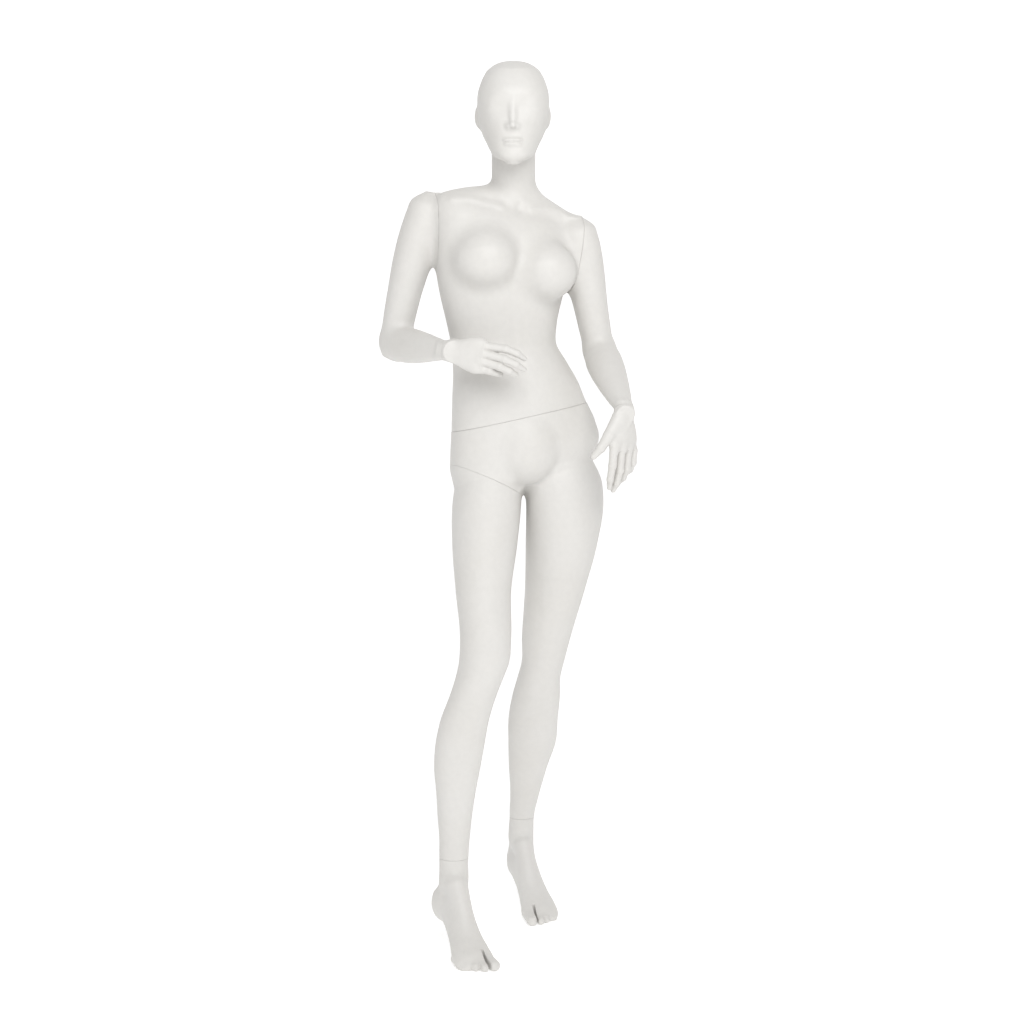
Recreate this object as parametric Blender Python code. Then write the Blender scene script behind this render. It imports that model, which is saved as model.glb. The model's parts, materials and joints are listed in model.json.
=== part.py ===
"""A full body display mannequin: hollow moulded shells that come apart at turned metal fittings.

Metres, +Z up. The mannequin faces -Y and +X is on its left. It stands on its forefeet, as if in heels, with
its right leg in front. "Right" and "left" are the mannequin's own.
"""

import math

import bmesh
import bpy
import numpy as np
from mathutils import Matrix, Vector

# Shells
WALL = 0.004  # moulded wall of every shell
END_WALL = 0.009  # flat wall that closes a shell at a seam
GAP = 0.0003  # between pieces that touch
SOLE_TRIM = 0.0016  # height up to which the soles are cut flat
BEYOND = 0.012  # how far a skin runs past its seams before it is cut
BODY_STEP = 0.009  # pitch of the lattice that a large skin is drawn from
LEG_STEP = 0.008
LIMB_STEP = 0.007
HAND_STEP = 0.0032
FOOT_STEP = 0.004
TRUNK_HOLLOW_STEP = 0.014  # pitch for the insides, which are plainer
LEG_HOLLOW_STEP = 0.012
ARM_HOLLOW_STEP = 0.008

# Fittings: a flange radius, barrel radius, bore radius, length and flange thickness
WAIST_SIZE = (0.040, 0.024, 0.0160, 0.045, 0.004)
SHOULDER_SIZE = (0.022, 0.013, 0.0085, 0.030, 0.003)
WRIST_SIZE = (0.0105, 0.0070, 0.0042, 0.022, 0.002)
GROIN_SIZE = (0.032, 0.019, 0.0125, 0.040, 0.004)
ANKLE_SIZE = (0.0170, 0.0110, 0.0070, 0.030, 0.003)
BOSS_SHARE = 0.4  # of a bush's length, the length of a stud's boss
PIN_PLAY = 0.0005  # between a pin and its bore
NOSE_SHORT = 0.004  # how far a pin stops short of its bore's end
NOSE_CHAMFER = 0.001
SEAT_RISE = 0.01  # how far a seat's cutter stands clear of its shell
SCREW_HEAD, SCREW_SHANK, SCREW_LENGTH, HEAD_DEPTH = 0.0035, 0.0017, 0.0095, 0.0018
SCREW = ((0, 0.0), (SCREW_HEAD, 0.0), (SCREW_SHANK, HEAD_DEPTH), (SCREW_SHANK, SCREW_LENGTH), (0, SCREW_LENGTH))
SCREW_HOLE = (
    (0, -0.005),
    (SCREW_HEAD + GAP, -0.005),
    (SCREW_HEAD + GAP, 0.0),
    (SCREW_SHANK + GAP, HEAD_DEPTH),
    (SCREW_SHANK + GAP, 0.02),
    (0, 0.02),
)

# How softly the limbs run into the trunk
HIP_BLEND = 0.024
SHOULDER_BLEND = 0.022
STUB = 0.030  # how far the upper body's own stub of an arm runs past its shoulder seam
STUB_BALL = 0.088  # and how far it runs from the middle of that seam

# Pose: how far the body is turned to its left, and how far its cross sections lean sideways
BODY_TURN = math.radians(16)
LEAN = ((0.90, -0.21), (1.10, -0.21), (1.25, 0.0), (1.40, 0.16), (1.50, 0.21), (1.60, 0.21))

# Cross sections. A row is the height, the centre across and in depth, the half width, and the depth in
# front of the centre and behind it
TRUNK = (
    (0.962, 0.034, 0.044, 0.070, 0.040, 0.060),
    (0.974, 0.034, 0.043, 0.108, 0.062, 0.086),
    (0.989, 0.033, 0.041, 0.135, 0.080, 0.098),
    (1.010, 0.030, 0.039, 0.1485, 0.090, 0.102),
    (1.050, 0.0235, 0.037, 0.1475, 0.094, 0.096),
    (1.100, 0.0135, 0.034, 0.1375, 0.092, 0.084),
    (1.150, 0.0055, 0.032, 0.1285, 0.086, 0.071),
    (1.200, -0.0055, 0.031, 0.1155, 0.080, 0.062),
    (1.240, -0.017, 0.031, 0.1075, 0.077, 0.060),
    (1.280, -0.0215, 0.032, 0.1125, 0.080, 0.064),
    (1.330, -0.024, 0.033, 0.1235, 0.087, 0.074),
    (1.380, -0.022, 0.033, 0.1340, 0.091, 0.085),
    (1.420, -0.017, 0.033, 0.1430, 0.089, 0.089),
    (1.460, -0.008, 0.034, 0.1530, 0.079, 0.083),
    (1.490, -0.002, 0.036, 0.1560, 0.064, 0.068),
    (1.512, 0.001, 0.038, 0.1420, 0.049, 0.054),
    (1.530, 0.002, 0.038, 0.1030, 0.042, 0.048),
    (1.548, 0.002, 0.040, 0.0500, 0.030, 0.038),
    (1.566, 0.002, 0.040, 0.0200, 0.015, 0.020),
)
NECK = (
    (1.490, 0.003, 0.044, 0.050, 0.044, 0.046),
    (1.545, 0.003, 0.040, 0.0450, 0.045, 0.047),
    (1.575, 0.003, 0.034, 0.0435, 0.045, 0.048),
    (1.610, 0.003, 0.027, 0.0435, 0.047, 0.052),
    (1.670, 0.003, 0.022, 0.0440, 0.050, 0.062),
)
FACE = (
    (1.5965, 0.003, -0.050, 0.010, 0.016, 0.016),
    (1.604, 0.003, -0.042, 0.029, 0.032, 0.032),
    (1.622, 0.002, -0.022, 0.0450, 0.058, 0.060),
    (1.638, 0.002, -0.010, 0.0500, 0.070, 0.070),
    (1.653, 0.002, 0.000, 0.0535, 0.078, 0.076),
    (1.669, 0.002, 0.006, 0.0555, 0.084, 0.080),
    (1.685, 0.002, 0.010, 0.0595, 0.086, 0.086),
    (1.710, 0.002, 0.012, 0.0610, 0.087, 0.088),
    (1.740, 0.002, 0.012, 0.0580, 0.080, 0.080),
    (1.765, 0.002, 0.014, 0.0380, 0.055, 0.055),
)
RIGHT_LEG = (
    (1.060, -0.040, 0.035, 0.035, 0.055, 0.060),
    (1.020, -0.043, 0.034, 0.053, 0.078, 0.080),
    (0.970, -0.0465, 0.031, 0.0660, 0.087, 0.098),
    (0.925, -0.0505, 0.027, 0.0695, 0.086, 0.094),
    (0.838, -0.0550, 0.005, 0.0660, 0.077, 0.083),
    (0.746, -0.0575, -0.024, 0.0560, 0.066, 0.066),
    (0.655, -0.0530, -0.050, 0.0515, 0.056, 0.058),
    (0.607, -0.0560, -0.059, 0.0505, 0.053, 0.050),
    (0.573, -0.0660, -0.058, 0.0480, 0.053, 0.047),
    (0.538, -0.0780, -0.051, 0.0470, 0.050, 0.051),
    (0.486, -0.0950, -0.037, 0.0490, 0.044, 0.059),
    (0.432, -0.1055, -0.024, 0.0498, 0.041, 0.063),
    (0.381, -0.1115, -0.012, 0.0470, 0.039, 0.058),
    (0.330, -0.1145, -0.003, 0.0405, 0.036, 0.049),
    (0.279, -0.1170, 0.003, 0.0355, 0.034, 0.041),
    (0.229, -0.1180, 0.006, 0.0312, 0.032, 0.036),
    (0.191, -0.1195, 0.008, 0.0298, 0.033, 0.034),
    (0.145, -0.1202, 0.008, 0.0275, 0.032, 0.032),
    (0.105, -0.1205, 0.004, 0.0170, 0.022, 0.022),
)
LEFT_LEG = (
    (1.060, 0.085, 0.042, 0.040, 0.045, 0.060),
    (1.020, 0.094, 0.044, 0.060, 0.050, 0.088),
    (0.970, 0.1035, 0.047, 0.0770, 0.068, 0.108),
    (0.923, 0.1075, 0.053, 0.0790, 0.078, 0.104),
    (0.831, 0.1015, 0.071, 0.0735, 0.078, 0.089),
    (0.730, 0.0880, 0.094, 0.0615, 0.066, 0.071),
    (0.628, 0.0710, 0.119, 0.0505, 0.057, 0.058),
    (0.576, 0.0645, 0.133, 0.0445, 0.053, 0.051),
    (0.541, 0.0565, 0.145, 0.0450, 0.050, 0.051),
    (0.503, 0.0515, 0.161, 0.0500, 0.048, 0.056),
    (0.446, 0.0450, 0.190, 0.0525, 0.045, 0.064),
    (0.389, 0.0430, 0.220, 0.0510, 0.043, 0.065),
    (0.330, 0.0350, 0.252, 0.0420, 0.040, 0.057),
    (0.269, 0.0290, 0.287, 0.0330, 0.037, 0.047),
    (0.199, 0.0215, 0.327, 0.0270, 0.034, 0.037),
    (0.150, 0.0205, 0.343, 0.0255, 0.032, 0.033),
    (0.105, 0.0200, 0.351, 0.0160, 0.022, 0.022),
)

# Sections of an arm and a palm: the share of the way along, the half width and the half thickness
UPPER_ARM = (
    (-0.17, 0.010, 0.012),
    (-0.10, 0.031, 0.033),
    (0.00, 0.0380, 0.043),
    (0.15, 0.0405, 0.048),
    (0.35, 0.0390, 0.047),
    (0.60, 0.0345, 0.041),
    (0.85, 0.0315, 0.036),
    (1.00, 0.0290, 0.032),
    (1.10, 0.0180, 0.020),
)
FOREARM = (
    (-0.14, 0.0140, 0.0160),
    (0.00, 0.0280, 0.0305),
    (0.15, 0.0345, 0.0360),
    (0.32, 0.0350, 0.0355),
    (0.55, 0.0305, 0.0310),
    (0.80, 0.0235, 0.0235),
    (1.00, 0.0185, 0.0160),
    (1.08, 0.0180, 0.0150),
)
PALM = (
    (-0.15, 0.0080, 0.0070),
    (0.00, 0.0140, 0.0115),
    (0.25, 0.0230, 0.0148),
    (0.60, 0.0325, 0.0140),
    (0.90, 0.0350, 0.0120),
    (1.04, 0.0330, 0.0095),
)
FINGER_RADII = (0.0088, 0.0078, 0.0068, 0.0050)
THUMB_RADII = (0.0145, 0.0110, 0.0088, 0.0066)

# Joints of the arms and hands. A finger runs knuckle, two joints, tip
RIGHT_ARM = dict(
    shoulder=(-0.173, 0.024, 1.497),
    elbow=(-0.2380, 0.052, 1.241),
    bow=(-0.005, 0.0, 0.0),
    wrist=(-0.1285, -0.112, 1.2295),
    knuckles=(-0.0600, -0.134, 1.2195),
    across=(-0.30, 0.10, -0.90),
    thumb=((-0.112, -0.108, 1.238), (-0.080, -0.098, 1.236), (-0.052, -0.101, 1.234), (-0.030, -0.108, 1.229)),
    fingers=(
        ((-0.056, -0.134, 1.239), (-0.012, -0.142, 1.233), (0.010, -0.139, 1.224), (0.024, -0.131, 1.214)),
        ((-0.056, -0.137, 1.2245), (-0.014, -0.146, 1.2135), (0.008, -0.141, 1.203), (0.0235, -0.131, 1.193)),
        ((-0.060, -0.135, 1.2105), (-0.024, -0.143, 1.199), (-0.005, -0.137, 1.1905), (0.008, -0.127, 1.183)),
        ((-0.068, -0.129, 1.1985), (-0.044, -0.134, 1.191), (-0.031, -0.128, 1.1865), (-0.022, -0.119, 1.183)),
    ),
)
LEFT_ARM = dict(
    shoulder=(0.135, 0.042, 1.452),
    elbow=(0.1770, 0.066, 1.226),
    bow=(-0.001, 0.0, 0.0),
    wrist=(0.2180, -0.128, 1.118),
    knuckles=(0.2180, -0.126, 1.042),
    across=(0.66, 0.74, -0.12),
    thumb=((0.207, -0.140, 1.098), (0.187, -0.156, 1.066), (0.172, -0.160, 1.042), (0.158, -0.157, 1.026)),
    fingers=(
        ((0.1985, -0.148, 1.048), (0.195, -0.150, 1.007), (0.191, -0.142, 0.980), (0.190, -0.132, 0.963)),
        ((0.2130, -0.133, 1.044), (0.210, -0.136, 0.998), (0.204, -0.128, 0.971), (0.198, -0.118, 0.957)),
        ((0.2265, -0.118, 1.038), (0.224, -0.119, 0.999), (0.217, -0.112, 0.981), (0.207, -0.104, 0.969)),
        ((0.2375, -0.102, 1.034), (0.2365, -0.102, 1.010), (0.231, -0.098, 0.996), (0.223, -0.093, 0.987)),
    ),
)

# Feet: where the ball of the foot stands and which way it points. X in a foot's own frame runs to the big toe
RIGHT_FOOT = dict(stand=(-0.0805, -0.1150), turn=math.radians(21.5), side=1, ankle=0.0290, heel=-0.0070)
LEFT_FOOT = dict(stand=(0.0575, 0.2150), turn=math.radians(17.0), side=-1, ankle=0.0262, heel=-0.0010)
TOES = (
    ((0.024, 0.004, 0.017), (0.030, 0.048, 0.0125), 0.0145, 0.0115),
    ((0.0065, 0.002, 0.015), (0.0100, 0.047, 0.0095), 0.0095, 0.0080),
    ((-0.0065, -0.004, 0.014), (-0.0050, 0.037, 0.0090), 0.0092, 0.0078),
    ((-0.0180, -0.012, 0.013), (-0.0185, 0.026, 0.0085), 0.0090, 0.0075),
    ((-0.0280, -0.020, 0.012), (-0.0270, 0.013, 0.0085), 0.0090, 0.0075),
)

SOLE = (
    (-0.20, 0.0300, 0.0120),
    (-0.08, 0.0385, 0.0180),
    (0.08, 0.0385, 0.0205),
    (0.30, 0.0330, 0.0225),
    (0.60, 0.0285, 0.0290),
    (0.85, 0.0270, 0.0350),
    (1.02, 0.0255, 0.0330),
    (1.15, 0.0170, 0.0230),
)
SLIT = dict(middle=0.0165, half_width=0.0026, end=0.0130)

# Details of the chest and the face, as seen from the front
COLLARBONES = (
    ((-0.020, 1.512), (-0.050, 1.520), (-0.084, 1.529), (-0.118, 1.528)),
    ((0.040, 1.508), (0.070, 1.509), (0.100, 1.508), (0.118, 1.500)),
)
NOTCH = ((0.012, 1.516), (0.013, 1.505))
FACE_MIDDLE = 0.0015

# Rounded tops of the shoulders: two ends and their radii
SHOULDER_LINES = (
    ((-0.118, 0.030, 1.505), (-0.166, 0.026, 1.503), 0.0300, 0.0310),
    ((0.038, 0.045, 1.5215), (0.125, 0.045, 1.4630), 0.0270, 0.0280),
)

# Seams: a point on each and the way it faces
WAIST = (Vector((0.014, 0.034, 1.093)), Vector((-0.207, 0.0, 0.978)).normalized())
RIGHT_SHOULDER = (Vector((-0.156, 0.024, 1.468)), Vector((-0.979, -0.204, 0.0)).normalized())
LEFT_SHOULDER = (Vector((0.130, 0.042, 1.445)), Vector((0.950, 0.272, -0.157)).normalized())
GROIN = (Vector((-0.046, 0.022, 0.962)), Vector((0.386, 0.171, 0.907)).normalized())
CROTCH = (Vector((0.0215, 0.022, 0.941)), Vector((0.998, 0.0, -0.060)).normalized())
RIGHT_ANKLE = (Vector((-0.1195, 0.007, 0.191)), Vector((0.0, 0.0, 1.0)))
LEFT_ANKLE = (Vector((0.0215, 0.330, 0.199)), Vector((0.0, 0.0, 1.0)))
RIGHT_WRIST = (Vector(RIGHT_ARM["wrist"]), Vector((0.864, -0.498, -0.073)).normalized())
LEFT_WRIST = (Vector(LEFT_ARM["wrist"]), Vector((0.090, -0.450, -0.890)).normalized())


# --- Fields: each returns roughly how far the points are outside a shape, negative inside it


def smooth_min(a, b, blend):
    share = np.clip(0.5 + 0.5 * (b - a) / blend, 0.0, 1.0)
    return b + (a - b) * share - blend * share * (1.0 - share)


def smooth_union(fields, blend):
    joined = fields[0]
    for field in fields[1:]:
        joined = smooth_min(joined, field, blend)
    return joined


def smooth_cut(a, b, blend):
    return -smooth_min(-a, b, blend)


def read_rows(rows, at):
    """Every column of a table, read at these places along a curve through its rows."""
    rows = np.array(sorted(rows))
    fine = np.linspace(rows[0, 0], rows[-1, 0], 160)
    slopes = np.gradient(rows[:, 1:], rows[:, 0], axis=0)
    after = np.clip(np.searchsorted(rows[:, 0], fine), 1, len(rows) - 1)
    before = after - 1
    width = rows[after, 0] - rows[before, 0]
    t = ((fine - rows[before, 0]) / width)[:, None]
    width = width[:, None]
    curve = (
        (2 * t**3 - 3 * t**2 + 1) * rows[before, 1:]
        + (t**3 - 2 * t**2 + t) * width * slopes[before]
        + (3 * t**2 - 2 * t**3) * rows[after, 1:]
        + (t**3 - t**2) * width * slopes[after]
    )
    return [np.interp(at, fine, column) for column in curve.T]


def section(u, v, half_width, front, back, power):
    """Distance from a rounded section, v being negative in front."""
    depth = np.where(v < 0, front, back)
    reach = np.hypot(u, v) + 1e-6
    share = ((np.abs(u) / half_width) ** power + (np.abs(v) / depth) ** power) ** (1 / power) + 1e-9
    return reach - reach / share


def column(p, rows, turn=0.0, power=2.15, lean=None):
    """A body of upright sections, such as a trunk or a leg."""
    x, y, z = p.T
    height = z
    if lean is not None:
        middle = read_rows(rows, z)[0]
        height = z + read_rows(lean, z)[0] * (x - middle)
    middle, depth, half_width, front, back = read_rows(rows, height)
    dx = x - middle
    dy = y - depth
    u = dx * math.cos(turn) + dy * math.sin(turn)
    v = dy * math.cos(turn) - dx * math.sin(turn)
    field = section(u, v, half_width, front, back, power)
    ends = np.maximum(min(row[0] for row in rows) - height, height - max(row[0] for row in rows))
    return np.maximum(field, ends)


def beam(p, start, end, across, rows, power=2.1, bow=(0, 0, 0)):
    """A body of sections along a line, such as a forearm, with its width along "across".

    "bow" is how far the middle of the line is pushed aside.
    """
    start = np.array(start)
    along = np.array(end) - start
    length = np.linalg.norm(along)
    along = along / length
    across = np.array(across) - np.dot(across, along) * along
    across = across / np.linalg.norm(across)
    offset = p - start
    share = offset @ along / length
    offset = offset - np.sin(math.pi * np.clip(share, 0, 1))[:, None] * np.array(bow)
    half_width, half_depth = read_rows(rows, share)
    field = section(offset @ across, offset @ np.cross(along, across), half_width, half_depth, half_depth, power)
    ends = np.maximum(rows[0][0] - share, share - rows[-1][0]) * length
    return np.maximum(field, ends)


def ball(p, centre, radii):
    q = p - np.array(centre)
    radii = np.array(radii) * np.ones(3)
    reach = np.linalg.norm(q / radii, axis=1)
    return reach * (reach - 1) / (np.linalg.norm(q / radii**2, axis=1) + 1e-9)


def cone(p, start, end, first, last):
    """A round bar from one ball to another."""
    start = np.array(start)
    along = np.array(end) - start
    share = np.clip((p - start) @ along / np.dot(along, along), 0, 1)
    return np.linalg.norm(p - start - share[:, None] * along, axis=1) - (first + (last - first) * share)


def chain(p, joints, radii, blend=0.003):
    bars = [
        cone(p, joints[i], joints[i + 1], radii[i], radii[i + 1])
        for i in range(len(joints) - 1)
    ]
    return smooth_union(bars, blend)


def plane(p, seam):
    return (p - np.array(seam[0])) @ np.array(seam[1])


def turned(centre, sideways, forwards):
    """A place given from a centre in the body's own directions: to its left, and to its front."""
    return (
        centre[0] + sideways * math.cos(BODY_TURN) + forwards * math.sin(BODY_TURN),
        centre[1] + sideways * math.sin(BODY_TURN) - forwards * math.cos(BODY_TURN),
    )


# --- The body


def near(value, middle, width):
    """A soft bump: 1 in the middle, fading out over the width."""
    return np.exp(-(((value - middle) / width) ** 2))


def between(value, low, high, soft):
    """1 between two values, fading softly to 0 beyond them."""
    rise = np.clip((value - low) / soft + 0.5, 0, 1)
    fall = np.clip((high - value) / soft + 0.5, 0, 1)
    return rise * rise * (3 - 2 * rise) * fall * fall * (3 - 2 * fall)


def ridge(across, up, line, width):
    """1 on a line drawn across a surface seen flat, fading out over the width."""
    best = np.full(len(up), 1e9)
    for (x1, z1), (x2, z2) in zip(line, line[1:]):
        length = (x2 - x1) ** 2 + (z2 - z1) ** 2
        share = np.clip(((across - x1) * (x2 - x1) + (up - z1) * (z2 - z1)) / length, 0, 1)
        best = np.minimum(best, np.hypot(across - x1 - share * (x2 - x1), up - z1 - share * (z2 - z1)))
    return np.exp(-((best / width) ** 2))


def trunk_relief(p):
    """How far the surface of the trunk stands proud of its sections."""
    x, y, z = p.T
    middle, depth = read_rows(TRUNK, z)[:2]
    across = (x - middle) * math.cos(BODY_TURN) + (y - depth) * math.sin(BODY_TURN)
    forwards = (x - middle) * math.sin(BODY_TURN) - (y - depth) * math.cos(BODY_TURN)
    front = np.clip(forwards / 0.02, 0, 1)
    back = np.clip(-forwards / 0.02, 0, 1)
    relief = np.zeros(len(p))
    for bone, height in zip(COLLARBONES, (0.0050, 0.0046)):
        relief += height * front * ridge(x, z, bone, 0.0075)
        hollow = [(a, b + 0.019) for a, b in bone]
        relief -= 0.4 * height * front * ridge(x, z, hollow, 0.012)
    relief -= 0.0045 * front * ridge(x, z, NOTCH, 0.0075)
    relief -= 0.0022 * front * near(across, 0.0, 0.016) * between(z, 1.33, 1.46, 0.05)
    relief -= 0.0016 * front * near(across, 0.0, 0.013) * between(z, 1.13, 1.30, 0.06)
    relief -= 0.0050 * back * near(across, 0.0, 0.014) * between(z, 1.09, 1.47, 0.08)
    relief += 0.0042 * back * near(np.abs(across), 0.036, 0.020) * between(z, 1.05, 1.30, 0.10)
    for side in (-1, 1):
        blade = ((side * 0.050, 1.345), (side * 0.060, 1.40), (side * 0.088, 1.445))
        relief += 0.0050 * back * ridge(across, z, blade, 0.024)
    return relief


def trunk(p):
    core = column(p, TRUNK, BODY_TURN, 2.25, LEAN) - trunk_relief(p)
    field = core
    chest = (-0.012, 0.033)
    for sideways, height in ((-0.063, 1.409), (0.062, 1.385)):
        x, y = turned(chest, sideways, 0.070)
        top_x, top_y = turned(chest, 0.92 * sideways, 0.040)
        breast = ball(p, (x, y, height), (0.061, 0.048, 0.057))
        breast = smooth_min(breast, cone(p, (top_x, top_y, height + 0.066), (x, y, height), 0.024, 0.043), 0.024)
        field = smooth_min(field, breast, 0.021)
    seat = (0.032, 0.045)
    for sideways, height in ((-0.064, 0.985), (0.070, 1.000)):
        x, y = turned(seat, sideways, -0.042)
        field = smooth_min(field, ball(p, (x, y, height), (0.070, 0.064, 0.080)), 0.045)
    for line in SHOULDER_LINES:
        field = smooth_min(field, cone(p, *line), 0.012)
    return field


def belly(p):
    return ball(p, (0.022, 0.006, 1.044), (0.080, 0.075, 0.086))


def neck(p):
    return column(p, NECK, 0.0, 2.0)


def skull(p):
    q = (p - np.array((0.0025, 0.020, 1.7140))) / np.array((0.0695, 0.094, 0.0850))
    crown = ((np.abs(q) ** 2.5).sum(axis=1) ** (1 / 2.5) - 1) * 0.080
    return smooth_min(crown, column(p, FACE, 0.0, 2.25), 0.022)


def mirrored(p, middle):
    """The points with their left side folded onto their right."""
    q = p.copy()
    q[:, 0] = np.abs(q[:, 0] - middle)
    return q


def head(p):
    q = mirrored(p, FACE_MIDDLE)
    field = skull(p)
    ear = ball(q, (0.0675, 0.022, 1.6920), (0.0085, 0.016, 0.0200))
    lobe = ball(q, (0.0620, 0.018, 1.6760), (0.0062, 0.011, 0.0110))
    field = smooth_min(field, smooth_min(ear, lobe, 0.010), 0.005)
    socket = ball(q, (0.0270, -0.0905, 1.7020), (0.0200, 0.0125, 0.0110))
    field = smooth_cut(field, socket, 0.024)
    nose = cone(q, (0.0, -0.0690, 1.7120), (0.0, -0.0835, 1.6680), 0.0058, 0.0066)
    nose = smooth_min(nose, ball(q, (0.0, -0.0850, 1.6660), (0.0072, 0.0080, 0.0064)), 0.006)
    nose = smooth_min(nose, ball(q, (0.0085, -0.0790, 1.6645), (0.0054, 0.0080, 0.0058)), 0.005)
    field = smooth_min(field, nose, 0.010)
    field = smooth_min(field, ball(q, (0.0, -0.0620, 1.6090), (0.0220, 0.0160, 0.0140)), 0.016)
    upper_lip = ball(q, (0.0055, -0.0782, 1.6375), (0.0120, 0.0070, 0.0038))
    lower_lip = ball(q, (0.0015, -0.0778, 1.6298), (0.0140, 0.0080, 0.0050))
    lips = smooth_min(upper_lip, lower_lip, 0.0016)
    return smooth_min(field, lips, 0.0060)


def upper_arm(p, joints):
    return beam(p, joints["shoulder"], joints["elbow"], (1, 0, 0), UPPER_ARM, bow=joints["bow"])


def arm(p, joints):
    upper = upper_arm(p, joints)
    fore = beam(p, joints["elbow"], joints["wrist"], joints["across"], FOREARM)
    palm = beam(p, joints["wrist"], joints["knuckles"], joints["across"], PALM, 2.5)
    return smooth_min(smooth_min(upper, fore, 0.018), palm, 0.014)


def hand(p, joints):
    fingers = chain(p, joints["fingers"][0], FINGER_RADII)
    for finger in joints["fingers"][1:]:
        fingers = smooth_min(fingers, chain(p, finger, FINGER_RADII), 0.0015)
    field = smooth_min(arm(p, joints), fingers, 0.010)
    return smooth_min(field, chain(p, joints["thumb"], THUMB_RADII), 0.008)


def leg(p, rows):
    return column(p, rows, 0.0, 2.1)


def foot(p, placing):
    turn = placing["turn"]
    ankle = placing["ankle"]
    dx = p[:, 0] - placing["stand"][0]
    dy = p[:, 1] - placing["stand"][1]
    q = np.stack(
        [
            placing["side"] * (dx * math.cos(turn) + dy * math.sin(turn)),
            dx * math.sin(turn) - dy * math.cos(turn),
            p[:, 2],
        ],
        axis=1,
    )
    sole = beam(q, (-0.001, 0.004, 0.021), (0.001, -0.128, 0.098), (1, 0, 0.12), SOLE, 2.2)
    parts = (
        sole,
        cone(q, (0.006, -0.020, 0.034), (0.003, -0.098, 0.138), 0.0150, ankle - 0.005),
        cone(q, (0.004, -0.118, 0.145), (0.008, -0.126, 0.180), ankle - 0.003, ankle - 0.016),
        ball(q, (placing["heel"], -0.144, 0.092), (0.0255, 0.031, 0.036)),
        cone(q, (0.004, -0.138, 0.125), (0.008, -0.130, 0.170), 0.0130, 0.0080),
    )
    field = smooth_union(parts, 0.018)
    for side, height in ((1, 0.150), (-1, 0.140)):
        knuckle = ball(q, (0.004 + side * (ankle - 0.009), -0.118, height), (0.0085, 0.013, 0.014))
        field = smooth_min(field, knuckle, 0.010)
    toes = cone(q, *TOES[1])
    for toe in TOES[2:]:
        toes = smooth_min(toes, cone(q, *toe), 0.0022)
    field = smooth_min(field, toes, 0.008)
    field = smooth_min(field, cone(q, *TOES[0]), 0.008)
    slit = np.maximum(np.abs(q[:, 0] - SLIT["middle"] - 0.06 * (q[:, 1] - SLIT["end"])) - SLIT["half_width"],
                      SLIT["end"] - q[:, 1])
    return smooth_cut(field, slit, 0.0016)


def upper_body(p):
    field = smooth_min(trunk(p), neck(p), 0.022)
    field = smooth_min(field, head(p), 0.014)
    for joints, seam in ((RIGHT_ARM, RIGHT_SHOULDER), (LEFT_ARM, LEFT_SHOULDER)):
        reach = np.maximum(plane(p, seam) - STUB, ball(p, seam[0], STUB_BALL))
        stub = np.maximum(upper_arm(p, joints), reach)
        field = smooth_min(field, stub, SHOULDER_BLEND)
    return smooth_min(field, belly(p), 0.009)


def standing_leg(p, rows, placing):
    return smooth_min(leg(p, rows), foot(p, placing), 0.014)


def lower_body(p):
    hips = trunk(p)
    right = smooth_min(hips, standing_leg(p, RIGHT_LEG, RIGHT_FOOT), HIP_BLEND)
    left = smooth_min(hips, standing_leg(p, LEFT_LEG, LEFT_FOOT), HIP_BLEND)
    return smooth_min(smooth_min(right, left, 0.003), belly(p), 0.009)


def whole_arm(p, joints):
    """An arm and hand with the part of the chest that its shoulder blends into."""
    chest = np.maximum(trunk(p), ball(p, joints["shoulder"], 0.14))
    return smooth_min(hand(p, joints), chest, SHOULDER_BLEND)


# --- Skins: the zero surface of a field as a mesh of quads


def lattice(low, high, step):
    return [np.arange(a, b + step, step) for a, b in zip(low, high)]


def sample(field, axes, step):
    """The field on the lattice, worked out only near its surface."""
    coarse = 4
    thin = [axis[::coarse] for axis in axes]
    points = np.stack(np.meshgrid(*thin, indexing="ij"), axis=-1)
    rough = field(points.reshape(-1, 3)).reshape(points.shape[:3])
    pick = [
        np.minimum((np.arange(len(axis)) + coarse // 2) // coarse, len(short) - 1)
        for axis, short in zip(axes, thin)
    ]
    values = rough[np.ix_(*pick)]
    near = np.abs(values) < 2.2 * coarse * step
    index = np.argwhere(near)
    places = np.stack([axes[i][index[:, i]] for i in range(3)], axis=1)
    values[near] = field(places)
    for axis in range(3):
        border = np.moveaxis(values, axis, 0)
        border[[0, -1]] = np.maximum(border[[0, -1]], 0.5 * step)
    fill_pinches(values, 0.02 * step)
    return values


def fill_pinches(values, depth):
    """Fills corners of the lattice where two stretches of the body would meet along a bare edge."""
    for _ in range(8):
        filled = 0
        for first, second in ((0, 1), (1, 2), (0, 2)):
            views = {}
            for i in (0, 1):
                for j in (0, 1):
                    pick = [slice(None)] * 3
                    pick[first] = slice(1, None) if i else slice(0, -1)
                    pick[second] = slice(1, None) if j else slice(0, -1)
                    views[i, j] = values[tuple(pick)]
            for a, b, c, d in (((0, 0), (1, 1), (0, 1), (1, 0)), ((0, 1), (1, 0), (0, 0), (1, 1))):
                pinch = (views[a] < 0) & (views[b] < 0) & (views[c] >= 0) & (views[d] >= 0)
                views[c][pinch] = -depth
                filled += pinch.sum()
        if not filled:
            break


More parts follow.
